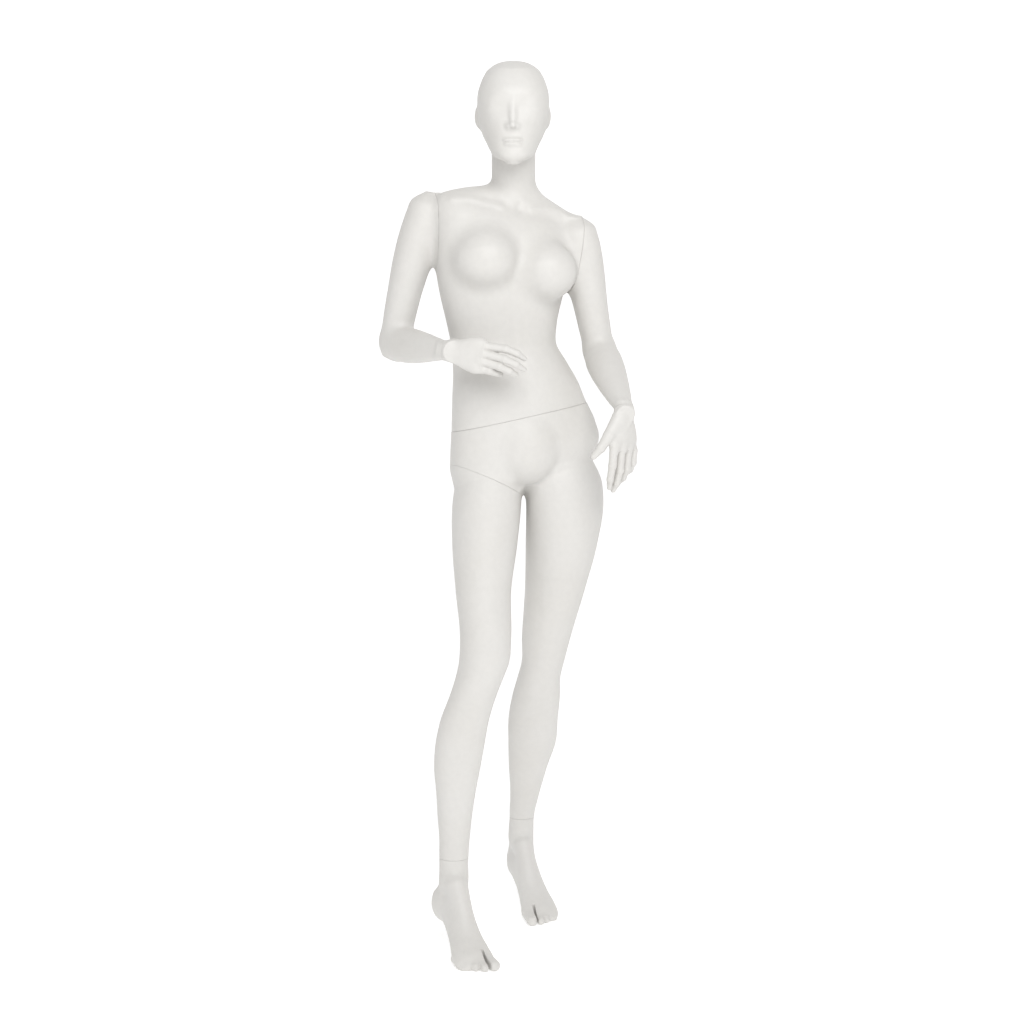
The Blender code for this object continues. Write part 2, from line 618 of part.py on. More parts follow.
def skin(field, low, high, step):
    """Corners and quads of the surface where the field is zero, by surface nets."""
    axes = lattice(low, high, step)
    values = sample(field, axes, step)
    inside = values < 0
    shape = tuple(n - 1 for n in values.shape)

    def corner(grid, d):
        return grid[d[0]:d[0] + shape[0], d[1]:d[1] + shape[1], d[2]:d[2] + shape[2]]

    corners = [np.array((i, j, k)) for i in (0, 1) for j in (0, 1) for k in (0, 1)]
    count = np.zeros(shape)
    total = np.zeros(shape + (3,))
    for a in corners:
        for b in corners:
            if (b - a).sum() != 1 or (b - a).min() < 0:
                continue
            crossed = corner(inside, a) != corner(inside, b)
            first = corner(values, a)[crossed]
            last = corner(values, b)[crossed]
            share = (first / (first - last))[:, None]
            total[crossed] += a + share * (b - a)
            count[crossed] += 1
    used = count > 0
    number = np.full(shape, -1)
    number[used] = np.arange(used.sum())
    cells = np.argwhere(used)
    vertices = np.array([axis[0] for axis in axes]) + step * (cells + total[used] / count[used][:, None])
    quads = []
    for axis in range(3):
        other = [(axis + 1) % 3, (axis + 2) % 3]
        ahead = [0, 0, 0]
        ahead[axis] = 1
        near = tuple(slice(0, n - 1) if d == axis else slice(1, n - 1) for d, n in enumerate(values.shape))
        far = tuple(slice(1, n) if d == axis else slice(1, n - 1) for d, n in enumerate(values.shape))
        crossed = inside[near] != inside[far]
        start = np.argwhere(crossed) + np.array([0 if d == axis else 1 for d in range(3)])
        outward = inside[near][crossed]
        ring = []
        for du, dv in ((1, 1), (0, 1), (0, 0), (1, 0)):
            cell = start.copy()
            cell[:, other[0]] -= du
            cell[:, other[1]] -= dv
            ring.append(number[tuple(cell.T)])
        ring = np.stack(ring, axis=1)
        ring[~outward] = ring[~outward][:, ::-1]
        quads.append(ring)
    return settle(field, vertices, np.concatenate(quads), step)


def settle(field, vertices, quads, step):
    """Evens out the corners and brings them onto the surface."""
    edges = np.concatenate([quads[:, [i, (i + 1) % 4]] for i in range(4)])
    edges = np.concatenate([edges, edges[:, ::-1]])
    for turn in range(6):
        if turn < 3:
            summed = np.zeros_like(vertices)
            tally = np.zeros(len(vertices))
            np.add.at(summed, edges[:, 0], vertices[edges[:, 1]])
            np.add.at(tally, edges[:, 0], 1)
            met = tally > 0
            vertices[met] = 0.5 * vertices[met] + 0.5 * summed[met] / tally[met][:, None]
        here = field(vertices)
        probe = 0.05 * step
        slope = np.stack([(field(vertices + probe * axis) - here) / probe for axis in np.eye(3)], axis=1)
        length = (slope**2).sum(axis=1) + 1e-6
        move = -(here / length)[:, None] * slope
        reach = np.linalg.norm(move, axis=1)[:, None]
        vertices = vertices + move * np.minimum(1, 0.5 * step / (reach + 1e-12))
    return vertices, quads


# --- Blender objects


def clear_scene():
    for obj in list(bpy.data.objects):
        bpy.data.objects.remove(obj, do_unlink=True)


def material(name, colour, roughness, metallic=0.0):
    made = bpy.data.materials.new(name)
    made.use_nodes = True
    shader = made.node_tree.nodes["Principled BSDF"]
    shader.inputs["Base Color"].default_value = (*colour, 1.0)
    shader.inputs["Roughness"].default_value = roughness
    shader.inputs["Metallic"].default_value = metallic
    return made


def link(name, mesh, look=None):
    obj = bpy.data.objects.new(name, mesh)
    bpy.context.scene.collection.objects.link(obj)
    if look is None:
        obj.hide_render = True
        obj.display_type = "WIRE"
    else:
        mesh.materials.append(look)
        mesh.shade_smooth()
        mesh.set_sharp_from_angle(angle=math.radians(40))
    return obj


def skin_object(name, field, low, high, step, triangles, look=None):
    """A closed skin thinned to about this many triangles. Without a look it is a cutter."""
    vertices, quads = skin(field, low, high, step)
    mesh = bpy.data.meshes.new(name)
    mesh.from_pydata(vertices.tolist(), [], quads.tolist())
    mesh.update()
    obj = link(name, mesh, look)
    thin = obj.modifiers.new("Thin", "DECIMATE")
    thin.ratio = min(1.0, triangles / (2 * len(quads)))
    return obj


def along(seam):
    """The frame of a seam: its own Z runs the way it faces."""
    return Matrix.Translation(seam[0]) @ seam[1].to_track_quat("Z", "Y").to_matrix().to_4x4()


def block(name, seam, side, reach, past=GAP / 2):
    """A cutter that fills one side of a seam and runs a little past it."""
    shape = bmesh.new()
    bmesh.ops.create_cube(shape, size=2 * reach)
    bmesh.ops.translate(shape, verts=shape.verts, vec=(0, 0, side * (reach - past)))
    mesh = bpy.data.meshes.new(name)
    shape.to_mesh(mesh)
    shape.free()
    obj = link(name, mesh)
    obj.matrix_world = along(seam)
    return obj


def spun(name, profile, place, look=None, sides=16):
    """A solid turned about the Z of its place. The profile runs up the outside from the axis to the axis,
    or round a closed ring where it has a bore."""
    shape = bmesh.new()
    corners = [shape.verts.new((radius, 0, height)) for radius, height in profile]
    edges = [shape.edges.new(pair) for pair in zip(corners, corners[1:])]
    if profile[0][0] > 0:
        edges.append(shape.edges.new((corners[-1], corners[0])))
    bmesh.ops.spin(
        shape, geom=corners + edges, cent=(0, 0, 0), axis=(0, 0, 1), angle=math.tau, steps=sides, use_merge=True
    )
    bmesh.ops.remove_doubles(shape, verts=shape.verts, dist=1e-5)
    bmesh.ops.recalc_face_normals(shape, faces=shape.faces)
    mesh = bpy.data.meshes.new(name)
    shape.to_mesh(mesh)
    shape.free()
    obj = link(name, mesh, look)
    obj.matrix_world = place
    return obj


def cut(obj, *cutters):
    for cutter in cutters:
        step = obj.modifiers.new(cutter.name, "BOOLEAN")
        step.operation = "DIFFERENCE"
        step.solver = "EXACT"
        step.object = cutter


# --- Fittings: a bush let into one shell takes the stud let into the other


def bush_profile(size, grow=0.0):
    flange, barrel, bore, length, thick = size
    ring = [
        (flange + grow, 0.0),
        (flange + grow, thick + grow),
        (barrel + grow, thick + grow),
        (barrel + grow, length + grow),
    ]
    if grow:
        return [(0, -SEAT_RISE), (flange + grow, -SEAT_RISE)] + ring[1:] + [(0, length + grow)]
    return [(bore, 0.0)] + ring + [(bore, length)]


def stud_profile(size, grow=0.0):
    flange, barrel, bore, length, thick = size
    boss = BOSS_SHARE * length
    outside = [
        (flange + grow, thick + grow),
        (barrel + grow, thick + grow),
        (barrel + grow, boss + grow),
        (0, boss + grow),
    ]
    if grow:
        return [(0, -SEAT_RISE), (flange + grow, -SEAT_RISE)] + outside
    pin = bore - PIN_PLAY
    nose = length - NOSE_SHORT
    tip = [(0, -nose), (pin - NOSE_CHAMFER, -nose), (pin, -nose + NOSE_CHAMFER)]
    return tip + [(pin, 0.0), (flange, 0.0)] + outside


def fitting(name, seam, size, host, guest, look, screws=0):
    """Fits a bush into the host, behind the seam, and a stud into the guest, in front of it."""
    ahead = along(seam)
    behind = ahead @ Matrix.Rotation(math.pi, 4, "X")
    step = Matrix.Translation((0, 0, GAP / 2))
    bush = spun(name + "_bush", bush_profile(size), behind @ step, look)
    stud = spun(name + "_stud", stud_profile(size), ahead @ step, look)
    cut(host, spun(name + "_bush_seat", bush_profile(size, GAP), behind @ step))
    cut(guest, spun(name + "_stud_seat", stud_profile(size, GAP), ahead @ step))
    held = {host: [bush], guest: [stud]}
    for shell, place, flange in ((host, behind, bush), (guest, ahead, stud)):
        for i in range(screws):
            turn = Matrix.Rotation(math.tau * (i + 0.5) / screws, 4, "Z")
            spot = place @ turn @ Matrix.Translation((0.5 * (size[0] + size[1]), 0, 0)) @ step
            screw_name = f"{flange.name.replace('_bush', '_lower').replace('_stud', '_upper')}_screw_{i + 1}"
            screw = spun(screw_name, SCREW, spot, look, 10)
            hole = spun(screw_name + "_hole", SCREW_HOLE, spot, None, 10)
            cut(flange, hole)
            cut(shell, hole)
            held[shell].append(screw)
    return held


# --- Shells


def kept_from_shoulder(p, seam, joints, margin):
    """Positive on the body's side of a shoulder seam, near that shoulder only."""
    return -np.maximum(plane(p, seam) - margin, ball(p, joints["shoulder"], 0.15))


def upper_hollow(p):
    core = smooth_min(smooth_min(trunk(p), neck(p), 0.022), skull(p) + 0.003, 0.014)
    for joints in (RIGHT_ARM, LEFT_ARM):
        core = smooth_min(core, upper_arm(p, joints), SHOULDER_BLEND)
    ends = [END_WALL - plane(p, WAIST), plane(p, RIGHT_SHOULDER) + END_WALL, plane(p, LEFT_SHOULDER) + END_WALL]
    return np.maximum.reduce([core + WALL, *ends])


def lower_hollow(p):
    beside = np.minimum(END_WALL - plane(p, GROIN), WALL - plane(p, CROTCH))
    ends = [plane(p, WAIST) + END_WALL, beside, END_WALL - plane(p, LEFT_ANKLE)]
    return np.maximum.reduce([lower_body(p) + WALL, *ends])


def right_leg_hollow(p):
    ends = [plane(p, GROIN) + END_WALL, plane(p, CROTCH) + WALL, END_WALL - plane(p, RIGHT_ANKLE)]
    return np.maximum.reduce([lower_body(p) + WALL, *ends])


def arm_hollow(p, joints, shoulder, wrist):
    ends = [kept_from_shoulder(p, shoulder, joints, END_WALL), plane(p, wrist) + END_WALL]
    return np.maximum.reduce([whole_arm(p, joints) + WALL, *ends])


def clipped(field, *limits):
    """The field with everything more than a little past these seams left out."""

    def bounded(p):
        return np.maximum.reduce([field(p), *[side * plane(p, seam) - BEYOND for seam, side in limits]])

    return bounded


def hips_and_left_leg(p):
    right_leg = -np.maximum(plane(p, GROIN) + BEYOND, plane(p, CROTCH) + BEYOND)
    return np.maximum.reduce([lower_body(p), right_leg, plane(p, WAIST) - BEYOND, -BEYOND - plane(p, LEFT_ANKLE)])


def make_upper_body(look):
    box = (-0.30, -0.16, 1.02), (0.26, 0.17, 1.84)
    shell = skin_object("upper_body_shell", clipped(upper_body, (WAIST, -1)), *box, BODY_STEP, 1800, look)
    cut(
        shell,
        block("below_waist", WAIST, -1, 0.5),
        block("right_of_shoulder", RIGHT_SHOULDER, 1, 0.10),
        block("left_of_shoulder", LEFT_SHOULDER, 1, 0.10),
        skin_object("upper_hollow", upper_hollow, *box, TRUNK_HOLLOW_STEP, 360),
    )
    return shell


def make_lower_body(look):
    box = (-0.20, -0.16, 0.12), (0.24, 0.46, 1.20)
    shell = skin_object("lower_body_shell", hips_and_left_leg, *box, BODY_STEP, 1700, look)
    wedge = block("right_leg_wedge", GROIN, -1, 0.6)
    cut(wedge, block("left_of_crotch", CROTCH, 1, 0.9, -GAP / 2))
    cut(
        shell,
        block("above_waist", WAIST, 1, 0.4),
        wedge,
        block("left_foot_block", LEFT_ANKLE, -1, 0.25),
        skin_object("lower_hollow", lower_hollow, *box, TRUNK_HOLLOW_STEP, 360),
    )
    return shell


def make_right_leg(look):
    box = (-0.20, -0.16, 0.12), (0.10, 0.18, 1.08)
    field = clipped(lower_body, (GROIN, 1), (CROTCH, 1), (RIGHT_ANKLE, -1))
    shell = skin_object("right_leg_shell", field, *box, LEG_STEP, 900, look)
    cut(
        shell,
        block("above_groin", GROIN, 1, 0.4),
        block("beyond_crotch", CROTCH, 1, 0.9),
        block("right_foot_block", RIGHT_ANKLE, -1, 0.25),
        skin_object("right_leg_hollow", right_leg_hollow, *box, LEG_HOLLOW_STEP, 200),
    )
    return shell


def make_arm(side, joints, shoulder, wrist, low, high, look):
    def field(p):
        return np.maximum(whole_arm(p, joints), kept_from_shoulder(p, shoulder, joints, -BEYOND))

    def hollow(p):
        return arm_hollow(p, joints, shoulder, wrist)

    shell = skin_object(f"{side}_arm_shell", clipped(field, (wrist, 1)), low, high, LIMB_STEP, 650, look)
    cut(
        shell,
        block(f"{side}_chest_block", shoulder, -1, 0.14),
        block(f"{side}_hand_block", wrist, 1, 0.2),
        skin_object(f"{side}_arm_hollow", hollow, low, high, ARM_HOLLOW_STEP, 160),
    )
    return shell


def make_hand(side, joints, wrist, low, high, look):
    def field(p):
        return hand(p, joints)

    solid = skin_object(f"{side}_hand", clipped(field, (wrist, -1)), low, high, HAND_STEP, 900, look)
    cut(solid, block(f"{side}_forearm_block", wrist, -1, 0.2))
    return solid


def make_foot(side, placing, rows, ankle, low, high, look):
    def field(p):
        return standing_leg(p, rows, placing)

    solid = skin_object(f"{side}_foot", clipped(field, (ankle, 1)), low, high, FOOT_STEP, 700, look)
    floor = (Vector((ankle[0].x, ankle[0].y, SOLE_TRIM)), Vector((0, 0, 1)))
    cut(solid, block(f"{side}_shin_block", ankle, 1, 0.2), block(f"{side}_floor_block", floor, -1, 0.3))
    return solid


def down(seam):
    return seam[0], -seam[1]


def joint_empty(name, seam, parent):
    empty = bpy.data.objects.new(name, None)
    empty.empty_display_size = 0.05
    bpy.context.scene.collection.objects.link(empty)
    empty.matrix_world = along(seam)
    if parent is not None:
        bpy.context.view_layer.update()
        hang(empty, parent)
    return empty


def hang(obj, parent):
    obj.parent = parent
    obj.matrix_parent_inverse = parent.matrix_world.inverted()


def centre_over_floor(root):
    """Moves the mannequin so that its box stands centred on the origin."""
    bpy.context.view_layer.update()
    graph = bpy.context.evaluated_depsgraph_get()
    corners = []
    for obj in bpy.data.objects:
        if obj.type == "MESH" and not obj.hide_render:
            evaluated = obj.evaluated_get(graph)
            corners += [evaluated.matrix_world @ Vector(corner) for corner in evaluated.bound_box]
    low = [min(c[i] for c in corners) for i in range(3)]
    high = [max(c[i] for c in corners) for i in range(3)]
    root.location = (-(low[0] + high[0]) / 2, -(low[1] + high[1]) / 2, -low[2])


def main():
    clear_scene()
    plastic = material("moulded_shell", (0.74, 0.72, 0.69), 0.55)
    steel = material("turned_steel", (0.55, 0.55, 0.56), 0.35, 1.0)

    upper = make_upper_body(plastic)
    lower = make_lower_body(plastic)
    right_leg = make_right_leg(plastic)
    right_box = (-0.32, -0.20, 1.14), (0.0, 0.16, 1.62)
    left_box = (0.0, -0.20, 1.00), (0.30, 0.18, 1.62)
    right_arm = make_arm("right", RIGHT_ARM, RIGHT_SHOULDER, RIGHT_WRIST, *right_box, plastic)
    left_arm = make_arm("left", LEFT_ARM, LEFT_SHOULDER, LEFT_WRIST, *left_box, plastic)
    right_box = (-0.17, -0.19, 1.14), (0.05, -0.03, 1.30)
    left_box = (0.12, -0.20, 0.93), (0.28, -0.04, 1.15)
    right_hand = make_hand("right", RIGHT_ARM, RIGHT_WRIST, *right_box, plastic)
    left_hand = make_hand("left", LEFT_ARM, LEFT_WRIST, *left_box, plastic)
    right_box = (-0.22, -0.22, -0.02), (0.02, 0.12, 0.23)
    left_box = (-0.05, 0.10, -0.02), (0.13, 0.44, 0.23)
    right_foot = make_foot("right", RIGHT_FOOT, RIGHT_LEG, RIGHT_ANKLE, *right_box, plastic)
    left_foot = make_foot("left", LEFT_FOOT, LEFT_LEG, LEFT_ANKLE, *left_box, plastic)

    pieces = {
        upper: [], lower: [], right_leg: [], right_arm: [], left_arm: [],
        right_hand: [], left_hand: [], right_foot: [], left_foot: [],
    }
    for held in (
        fitting("waist", WAIST, WAIST_SIZE, lower, upper, steel, 3),
        fitting("right_shoulder", RIGHT_SHOULDER, SHOULDER_SIZE, upper, right_arm, steel),
        fitting("left_shoulder", LEFT_SHOULDER, SHOULDER_SIZE, upper, left_arm, steel),
        fitting("right_wrist", RIGHT_WRIST, WRIST_SIZE, right_arm, right_hand, steel),
        fitting("left_wrist", LEFT_WRIST, WRIST_SIZE, left_arm, left_hand, steel),
        fitting("groin", down(GROIN), GROIN_SIZE, lower, right_leg, steel, 2),
        fitting("right_ankle", down(RIGHT_ANKLE), ANKLE_SIZE, right_leg, right_foot, steel),
        fitting("left_ankle", down(LEFT_ANKLE), ANKLE_SIZE, lower, left_foot, steel),
    ):
        for shell, parts in held.items():
            pieces[shell] += parts

    root = joint_empty("mannequin", (Vector((0, 0, 0)), Vector((0, 0, 1))), None)
    waist = joint_empty("waist_joint", WAIST, root)
    right_shoulder = joint_empty("right_shoulder_joint", RIGHT_SHOULDER, waist)
    left_shoulder = joint_empty("left_shoulder_joint", LEFT_SHOULDER, waist)
    groin = joint_empty("groin_joint", down(GROIN), root)
    carriers = {
        lower: root,
        upper: waist,
        right_arm: right_shoulder,
        left_arm: left_shoulder,
        right_hand: joint_empty("right_wrist_joint", RIGHT_WRIST, right_shoulder),
        left_hand: joint_empty("left_wrist_joint", LEFT_WRIST, left_shoulder),
        right_leg: groin,
        right_foot: joint_empty("right_ankle_joint", down(RIGHT_ANKLE), groin),
        left_foot: joint_empty("left_ankle_joint", down(LEFT_ANKLE), root),
    }
    bpy.context.view_layer.update()
    for shell, parts in pieces.items():
        for obj in [shell, *parts]:
            hang(obj, carriers[shell])
    for cutter in [obj for obj in bpy.data.objects if obj.type == "MESH" and obj.hide_render]:
        hang(cutter, root)
    centre_over_floor(root)


main()
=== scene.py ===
"""Looks of a full body display mannequin: smooth moulded pieces over the fixed frame's turned fittings.

Metres, +Z up. The mannequin faces -Y and +X is on its left. "Right" and "left" are the mannequin's own.
"""

import json
import math

import bmesh
import bpy
import numpy as np
from mathutils import Matrix, Vector


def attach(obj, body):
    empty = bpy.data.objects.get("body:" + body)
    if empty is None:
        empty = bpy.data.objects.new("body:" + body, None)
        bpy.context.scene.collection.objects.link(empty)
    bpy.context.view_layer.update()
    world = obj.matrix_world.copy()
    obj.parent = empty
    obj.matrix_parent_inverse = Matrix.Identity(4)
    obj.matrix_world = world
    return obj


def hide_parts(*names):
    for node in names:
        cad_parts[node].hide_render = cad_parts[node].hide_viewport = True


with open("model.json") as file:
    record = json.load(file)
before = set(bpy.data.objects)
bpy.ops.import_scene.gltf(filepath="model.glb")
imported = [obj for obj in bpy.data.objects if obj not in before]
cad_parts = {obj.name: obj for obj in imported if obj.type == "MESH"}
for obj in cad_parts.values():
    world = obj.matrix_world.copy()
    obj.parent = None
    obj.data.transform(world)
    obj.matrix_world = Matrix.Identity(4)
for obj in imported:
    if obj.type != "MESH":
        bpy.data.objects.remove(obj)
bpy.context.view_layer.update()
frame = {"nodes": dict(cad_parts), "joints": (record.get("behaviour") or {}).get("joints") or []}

# Pieces
GAP = 0.0003  # between pieces that touch
SOLE_TRIM = 0.0016  # height up to which the soles are cut flat
BEYOND = 0.012  # how far a skin runs past its seams before it is cut
SEAT_PAST = 0.01  # how far a fitting's cutter runs past its seam
LIP_REACH = 0.0011  # width of a seam's rolled rim
LIP_DEPTH = 0.0006
LIP_ON_SKIN = 0.0009  # how near the skin a cut's corner has to be to count as its rim
LIP_ON_SEAM = 2e-5  # how near its seam's plane a cut face lies
LIP_FACING = 0.999  # and how squarely it faces along the seam
SHARP_ANGLE = math.radians(50)  # steepest fold that is still shaded smooth
BODY_STEP = 0.0034  # pitch of the lattice that a skin is drawn from
LIMB_STEP = 0.0028
HAND_STEP = 0.0015
FOOT_STEP = 0.0019
COARSE = 4  # how many steps apart a field is read away from its surface
SETTLE_TURNS = 6  # how often a skin's corners are brought onto the surface
EVEN_TURNS = 3  # and in how many of these they are evened out first
PROBE = 2e-4  # how far apart a field is read to find its slope

# A fitting's flange radius, barrel radius, length and flange thickness
WAIST_SIZE = (0.04, 0.024, 0.045, 0.004)
SHOULDER_SIZE = (0.022, 0.013, 0.03, 0.003)
WRIST_SIZE = (0.0105, 0.007, 0.022, 0.002)
GROIN_SIZE = (0.032, 0.019, 0.04, 0.004)
ANKLE_SIZE = (0.017, 0.011, 0.03, 0.003)
BOSS_SHARE = 0.4  # of a bush's length, the length of a stud's boss

# Colours, each between a darker and a lighter tone
PLASTIC_DARK = (0.64, 0.626, 0.6, 1)
PLASTIC_LIGHT = (0.665, 0.654, 0.634, 1)
STEEL_DARK = (0.5, 0.5, 0.51, 1)
STEEL_LIGHT = (0.62, 0.62, 0.62, 1)
SWEEP_DARK = (0.9, 0.9, 0.9, 1)
SWEEP_LIGHT = (0.92, 0.92, 0.92, 1)
MIX_FIRST = 6  # the colour sockets of a mixing node
MIX_SECOND = 7
MIX_RESULT = 2

# Light, camera and sweep
WORLD_FILL = 0.56
KEY_POWER = 100.0
KEY_SIZE = 3.0
KEY_PLACE = (0.5, -3.3, 2.2)  # from the middle of the figure
SWEEP_GLOW = 0.36
SWEEP_START = 3.0  # how far behind the figure the floor starts to curve up
SWEEP_RADIUS = 2.5
CAMERA_PLACE = (0.0, -4.2, 1.3)
CAMERA_TILT = math.radians(84.6)
CAMERA_LENS = 73.56

# How softly the limbs run into the trunk
HIP_BLEND = 0.024
SHOULDER_BLEND = 0.024
BELLY_BLEND = 0.006
STUB = 0.03  # how far the upper body's own stub of an arm runs past its shoulder seam
STUB_BALL = 0.088  # and how far it runs from the middle of that seam
CHEST_PART = 0.14  # how much of the chest round its shoulder an arm is drawn with

# Pose: how far the body is turned to its left, and how far its cross sections lean sideways
BODY_TURN = math.radians(16)
LEAN = ((0.9, -0.21), (1.1, -0.21), (1.25, 0.0), (1.4, 0.16), (1.5, 0.21), (1.6, 0.21))

# Cross sections. A row is the height, the centre across and in depth, the half width, and the depth in
# front of the centre and behind it
TRUNK = (
    (0.962, 0.034, 0.044, 0.07, 0.04, 0.06),
    (0.974, 0.034, 0.043, 0.108, 0.062, 0.086),
    (0.989, 0.033, 0.041, 0.135, 0.072, 0.098),
    (1.01, 0.03, 0.039, 0.1485, 0.082, 0.102),
    (1.05, 0.0235, 0.037, 0.1475, 0.09, 0.096),
    (1.1, 0.0135, 0.034, 0.1375, 0.092, 0.084),
    (1.15, 0.0055, 0.032, 0.1285, 0.086, 0.071),
    (1.2, -0.0055, 0.031, 0.1155, 0.08, 0.062),
    (1.24, -0.017, 0.031, 0.1075, 0.077, 0.06),
    (1.28, -0.0215, 0.032, 0.1125, 0.08, 0.064),
    (1.33, -0.024, 0.033, 0.1235, 0.087, 0.074),
    (1.38, -0.022, 0.033, 0.134, 0.091, 0.085),
    (1.42, -0.017, 0.033, 0.143, 0.089, 0.089),
    (1.46, -0.008, 0.034, 0.153, 0.079, 0.083),
    (1.49, -0.002, 0.036, 0.156, 0.064, 0.068),
    (1.512, 0.001, 0.038, 0.142, 0.049, 0.054),
    (1.53, 0.002, 0.038, 0.103, 0.042, 0.048),
    (1.548, 0.002, 0.04, 0.05, 0.03, 0.038),
    (1.566, 0.002, 0.04, 0.02, 0.015, 0.02),
)
NECK = (
    (1.49, 0.003, 0.044, 0.05, 0.044, 0.046),
    (1.545, 0.003, 0.04, 0.045, 0.045, 0.047),
    (1.575, 0.003, 0.034, 0.0435, 0.045, 0.048),
    (1.61, 0.003, 0.027, 0.0435, 0.047, 0.052),
    (1.67, 0.003, 0.022, 0.044, 0.05, 0.062),
)
FACE = (
    (1.5965, 0.003, -0.05, 0.01, 0.016, 0.016),
    (1.604, 0.003, -0.042, 0.029, 0.032, 0.032),
    (1.622, 0.002, -0.022, 0.045, 0.058, 0.06),
    (1.638, 0.002, -0.01, 0.05, 0.07, 0.07),
    (1.653, 0.002, 0.0, 0.0535, 0.078, 0.076),
    (1.669, 0.002, 0.006, 0.0555, 0.084, 0.08),
    (1.685, 0.002, 0.01, 0.0595, 0.086, 0.086),
    (1.71, 0.002, 0.012, 0.061, 0.087, 0.088),
    (1.74, 0.002, 0.012, 0.058, 0.08, 0.08),
    (1.765, 0.002, 0.014, 0.038, 0.055, 0.055),
)
RIGHT_LEG = (
    (1.06, -0.04, 0.035, 0.035, 0.055, 0.06),
    (1.02, -0.043, 0.034, 0.053, 0.078, 0.08),
    (0.97, -0.0465, 0.031, 0.066, 0.087, 0.098),
    (0.925, -0.0505, 0.027, 0.0695, 0.086, 0.094),
    (0.838, -0.055, 0.005, 0.066, 0.077, 0.083),
    (0.746, -0.0575, -0.024, 0.056, 0.066, 0.066),
    (0.655, -0.053, -0.05, 0.0515, 0.056, 0.058),
    (0.607, -0.056, -0.059, 0.0505, 0.053, 0.05),
    (0.573, -0.066, -0.058, 0.048, 0.053, 0.047),
    (0.538, -0.078, -0.051, 0.047, 0.05, 0.051),
    (0.486, -0.095, -0.037, 0.049, 0.044, 0.059),
    (0.432, -0.1055, -0.024, 0.0498, 0.041, 0.063),
    (0.381, -0.1115, -0.012, 0.047, 0.039, 0.058),
    (0.33, -0.1145, -0.003, 0.0405, 0.036, 0.049),
    (0.279, -0.117, 0.003, 0.0355, 0.034, 0.041),
    (0.229, -0.118, 0.006, 0.0312, 0.032, 0.036),
    (0.191, -0.1195, 0.008, 0.0298, 0.033, 0.034),
    (0.145, -0.1202, 0.008, 0.0275, 0.032, 0.032),
    (0.105, -0.1205, 0.004, 0.017, 0.022, 0.022),
)
LEFT_LEG = (
    (1.06, 0.085, 0.042, 0.04, 0.045, 0.06),
    (1.02, 0.094, 0.044, 0.06, 0.044, 0.088),
    (0.97, 0.1035, 0.047, 0.077, 0.062, 0.108),
    (0.923, 0.1075, 0.053, 0.079, 0.073, 0.104),
    (0.831, 0.1015, 0.071, 0.0735, 0.078, 0.089),
    (0.73, 0.088, 0.094, 0.0615, 0.066, 0.071),
    (0.628, 0.071, 0.119, 0.0505, 0.057, 0.058),
    (0.576, 0.0645, 0.133, 0.0445, 0.053, 0.051),
    (0.541, 0.0565, 0.145, 0.045, 0.05, 0.051),
    (0.503, 0.0515, 0.161, 0.05, 0.048, 0.056),
    (0.446, 0.045, 0.19, 0.0525, 0.045, 0.064),
    (0.389, 0.043, 0.22, 0.051, 0.043, 0.065),
    (0.33, 0.035, 0.252, 0.042, 0.04, 0.057),
    (0.269, 0.029, 0.287, 0.033, 0.037, 0.047),
    (0.199, 0.0215, 0.327, 0.027, 0.034, 0.037),
    (0.15, 0.0205, 0.343, 0.0255, 0.032, 0.033),
    (0.105, 0.02, 0.351, 0.016, 0.022, 0.022),
)

# Sections of an arm and a palm: the share of the way along, the half width and the half thickness
UPPER_ARM = (
    (-0.17, 0.01, 0.012),
    (-0.1, 0.031, 0.033),
    (0.0, 0.038, 0.043),
    (0.15, 0.0405, 0.048),
    (0.35, 0.039, 0.047),
    (0.6, 0.0345, 0.041),
    (0.85, 0.0315, 0.036),
    (1.0, 0.029, 0.032),
    (1.1, 0.018, 0.02),
)
FOREARM = (
    (-0.14, 0.014, 0.016),
    (0.0, 0.028, 0.0305),
    (0.15, 0.0345, 0.036),
    (0.32, 0.035, 0.0355),
    (0.55, 0.0305, 0.031),
    (0.8, 0.0235, 0.0235),
    (1.0, 0.0185, 0.016),
    (1.08, 0.018, 0.015),
)
PALM = (
    (-0.15, 0.007, 0.006),
    (0.0, 0.012, 0.0095),
    (0.3, 0.0225, 0.013),
    (0.6, 0.0315, 0.0135),
    (0.9, 0.0345, 0.0115),
    (1.04, 0.031, 0.008),
)
FINGER_RADII = (0.0088, 0.0078, 0.0068, 0.005)
THUMB_RADII = (0.0145, 0.011, 0.0088, 0.0066)

# Joints of the arms and hands. A finger runs knuckle, two joints, tip
RIGHT_ARM = dict(
    shoulder=(-0.173, 0.024, 1.497),
    elbow=(-0.238, 0.052, 1.241),
    bow=(-0.005, 0.0, 0.0),
    wrist=(-0.1285, -0.112, 1.2295),
    knuckles=(-0.06, -0.134, 1.2195),
    across=(-0.3, 0.1, -0.9),
    thumb=(
        (-0.112, -0.108, 1.238),
        (-0.08, -0.098, 1.236),
        (-0.052, -0.101, 1.234),
        (-0.03, -0.108, 1.229),
    ),
    fingers=(
        ((-0.056, -0.134, 1.239), (-0.012, -0.142, 1.233), (0.01, -0.139, 1.224), (0.024, -0.131, 1.214)),
        ((-0.056, -0.137, 1.2245), (-0.014, -0.146, 1.2135), (0.008, -0.141, 1.203), (0.0235, -0.131, 1.193)),
        ((-0.06, -0.135, 1.2105), (-0.024, -0.143, 1.199), (-0.005, -0.137, 1.1905), (0.008, -0.127, 1.183)),
        ((-0.068, -0.129, 1.1985), (-0.044, -0.134, 1.191), (-0.031, -0.128, 1.1865), (-0.022, -0.119, 1.183)),
    ),
)
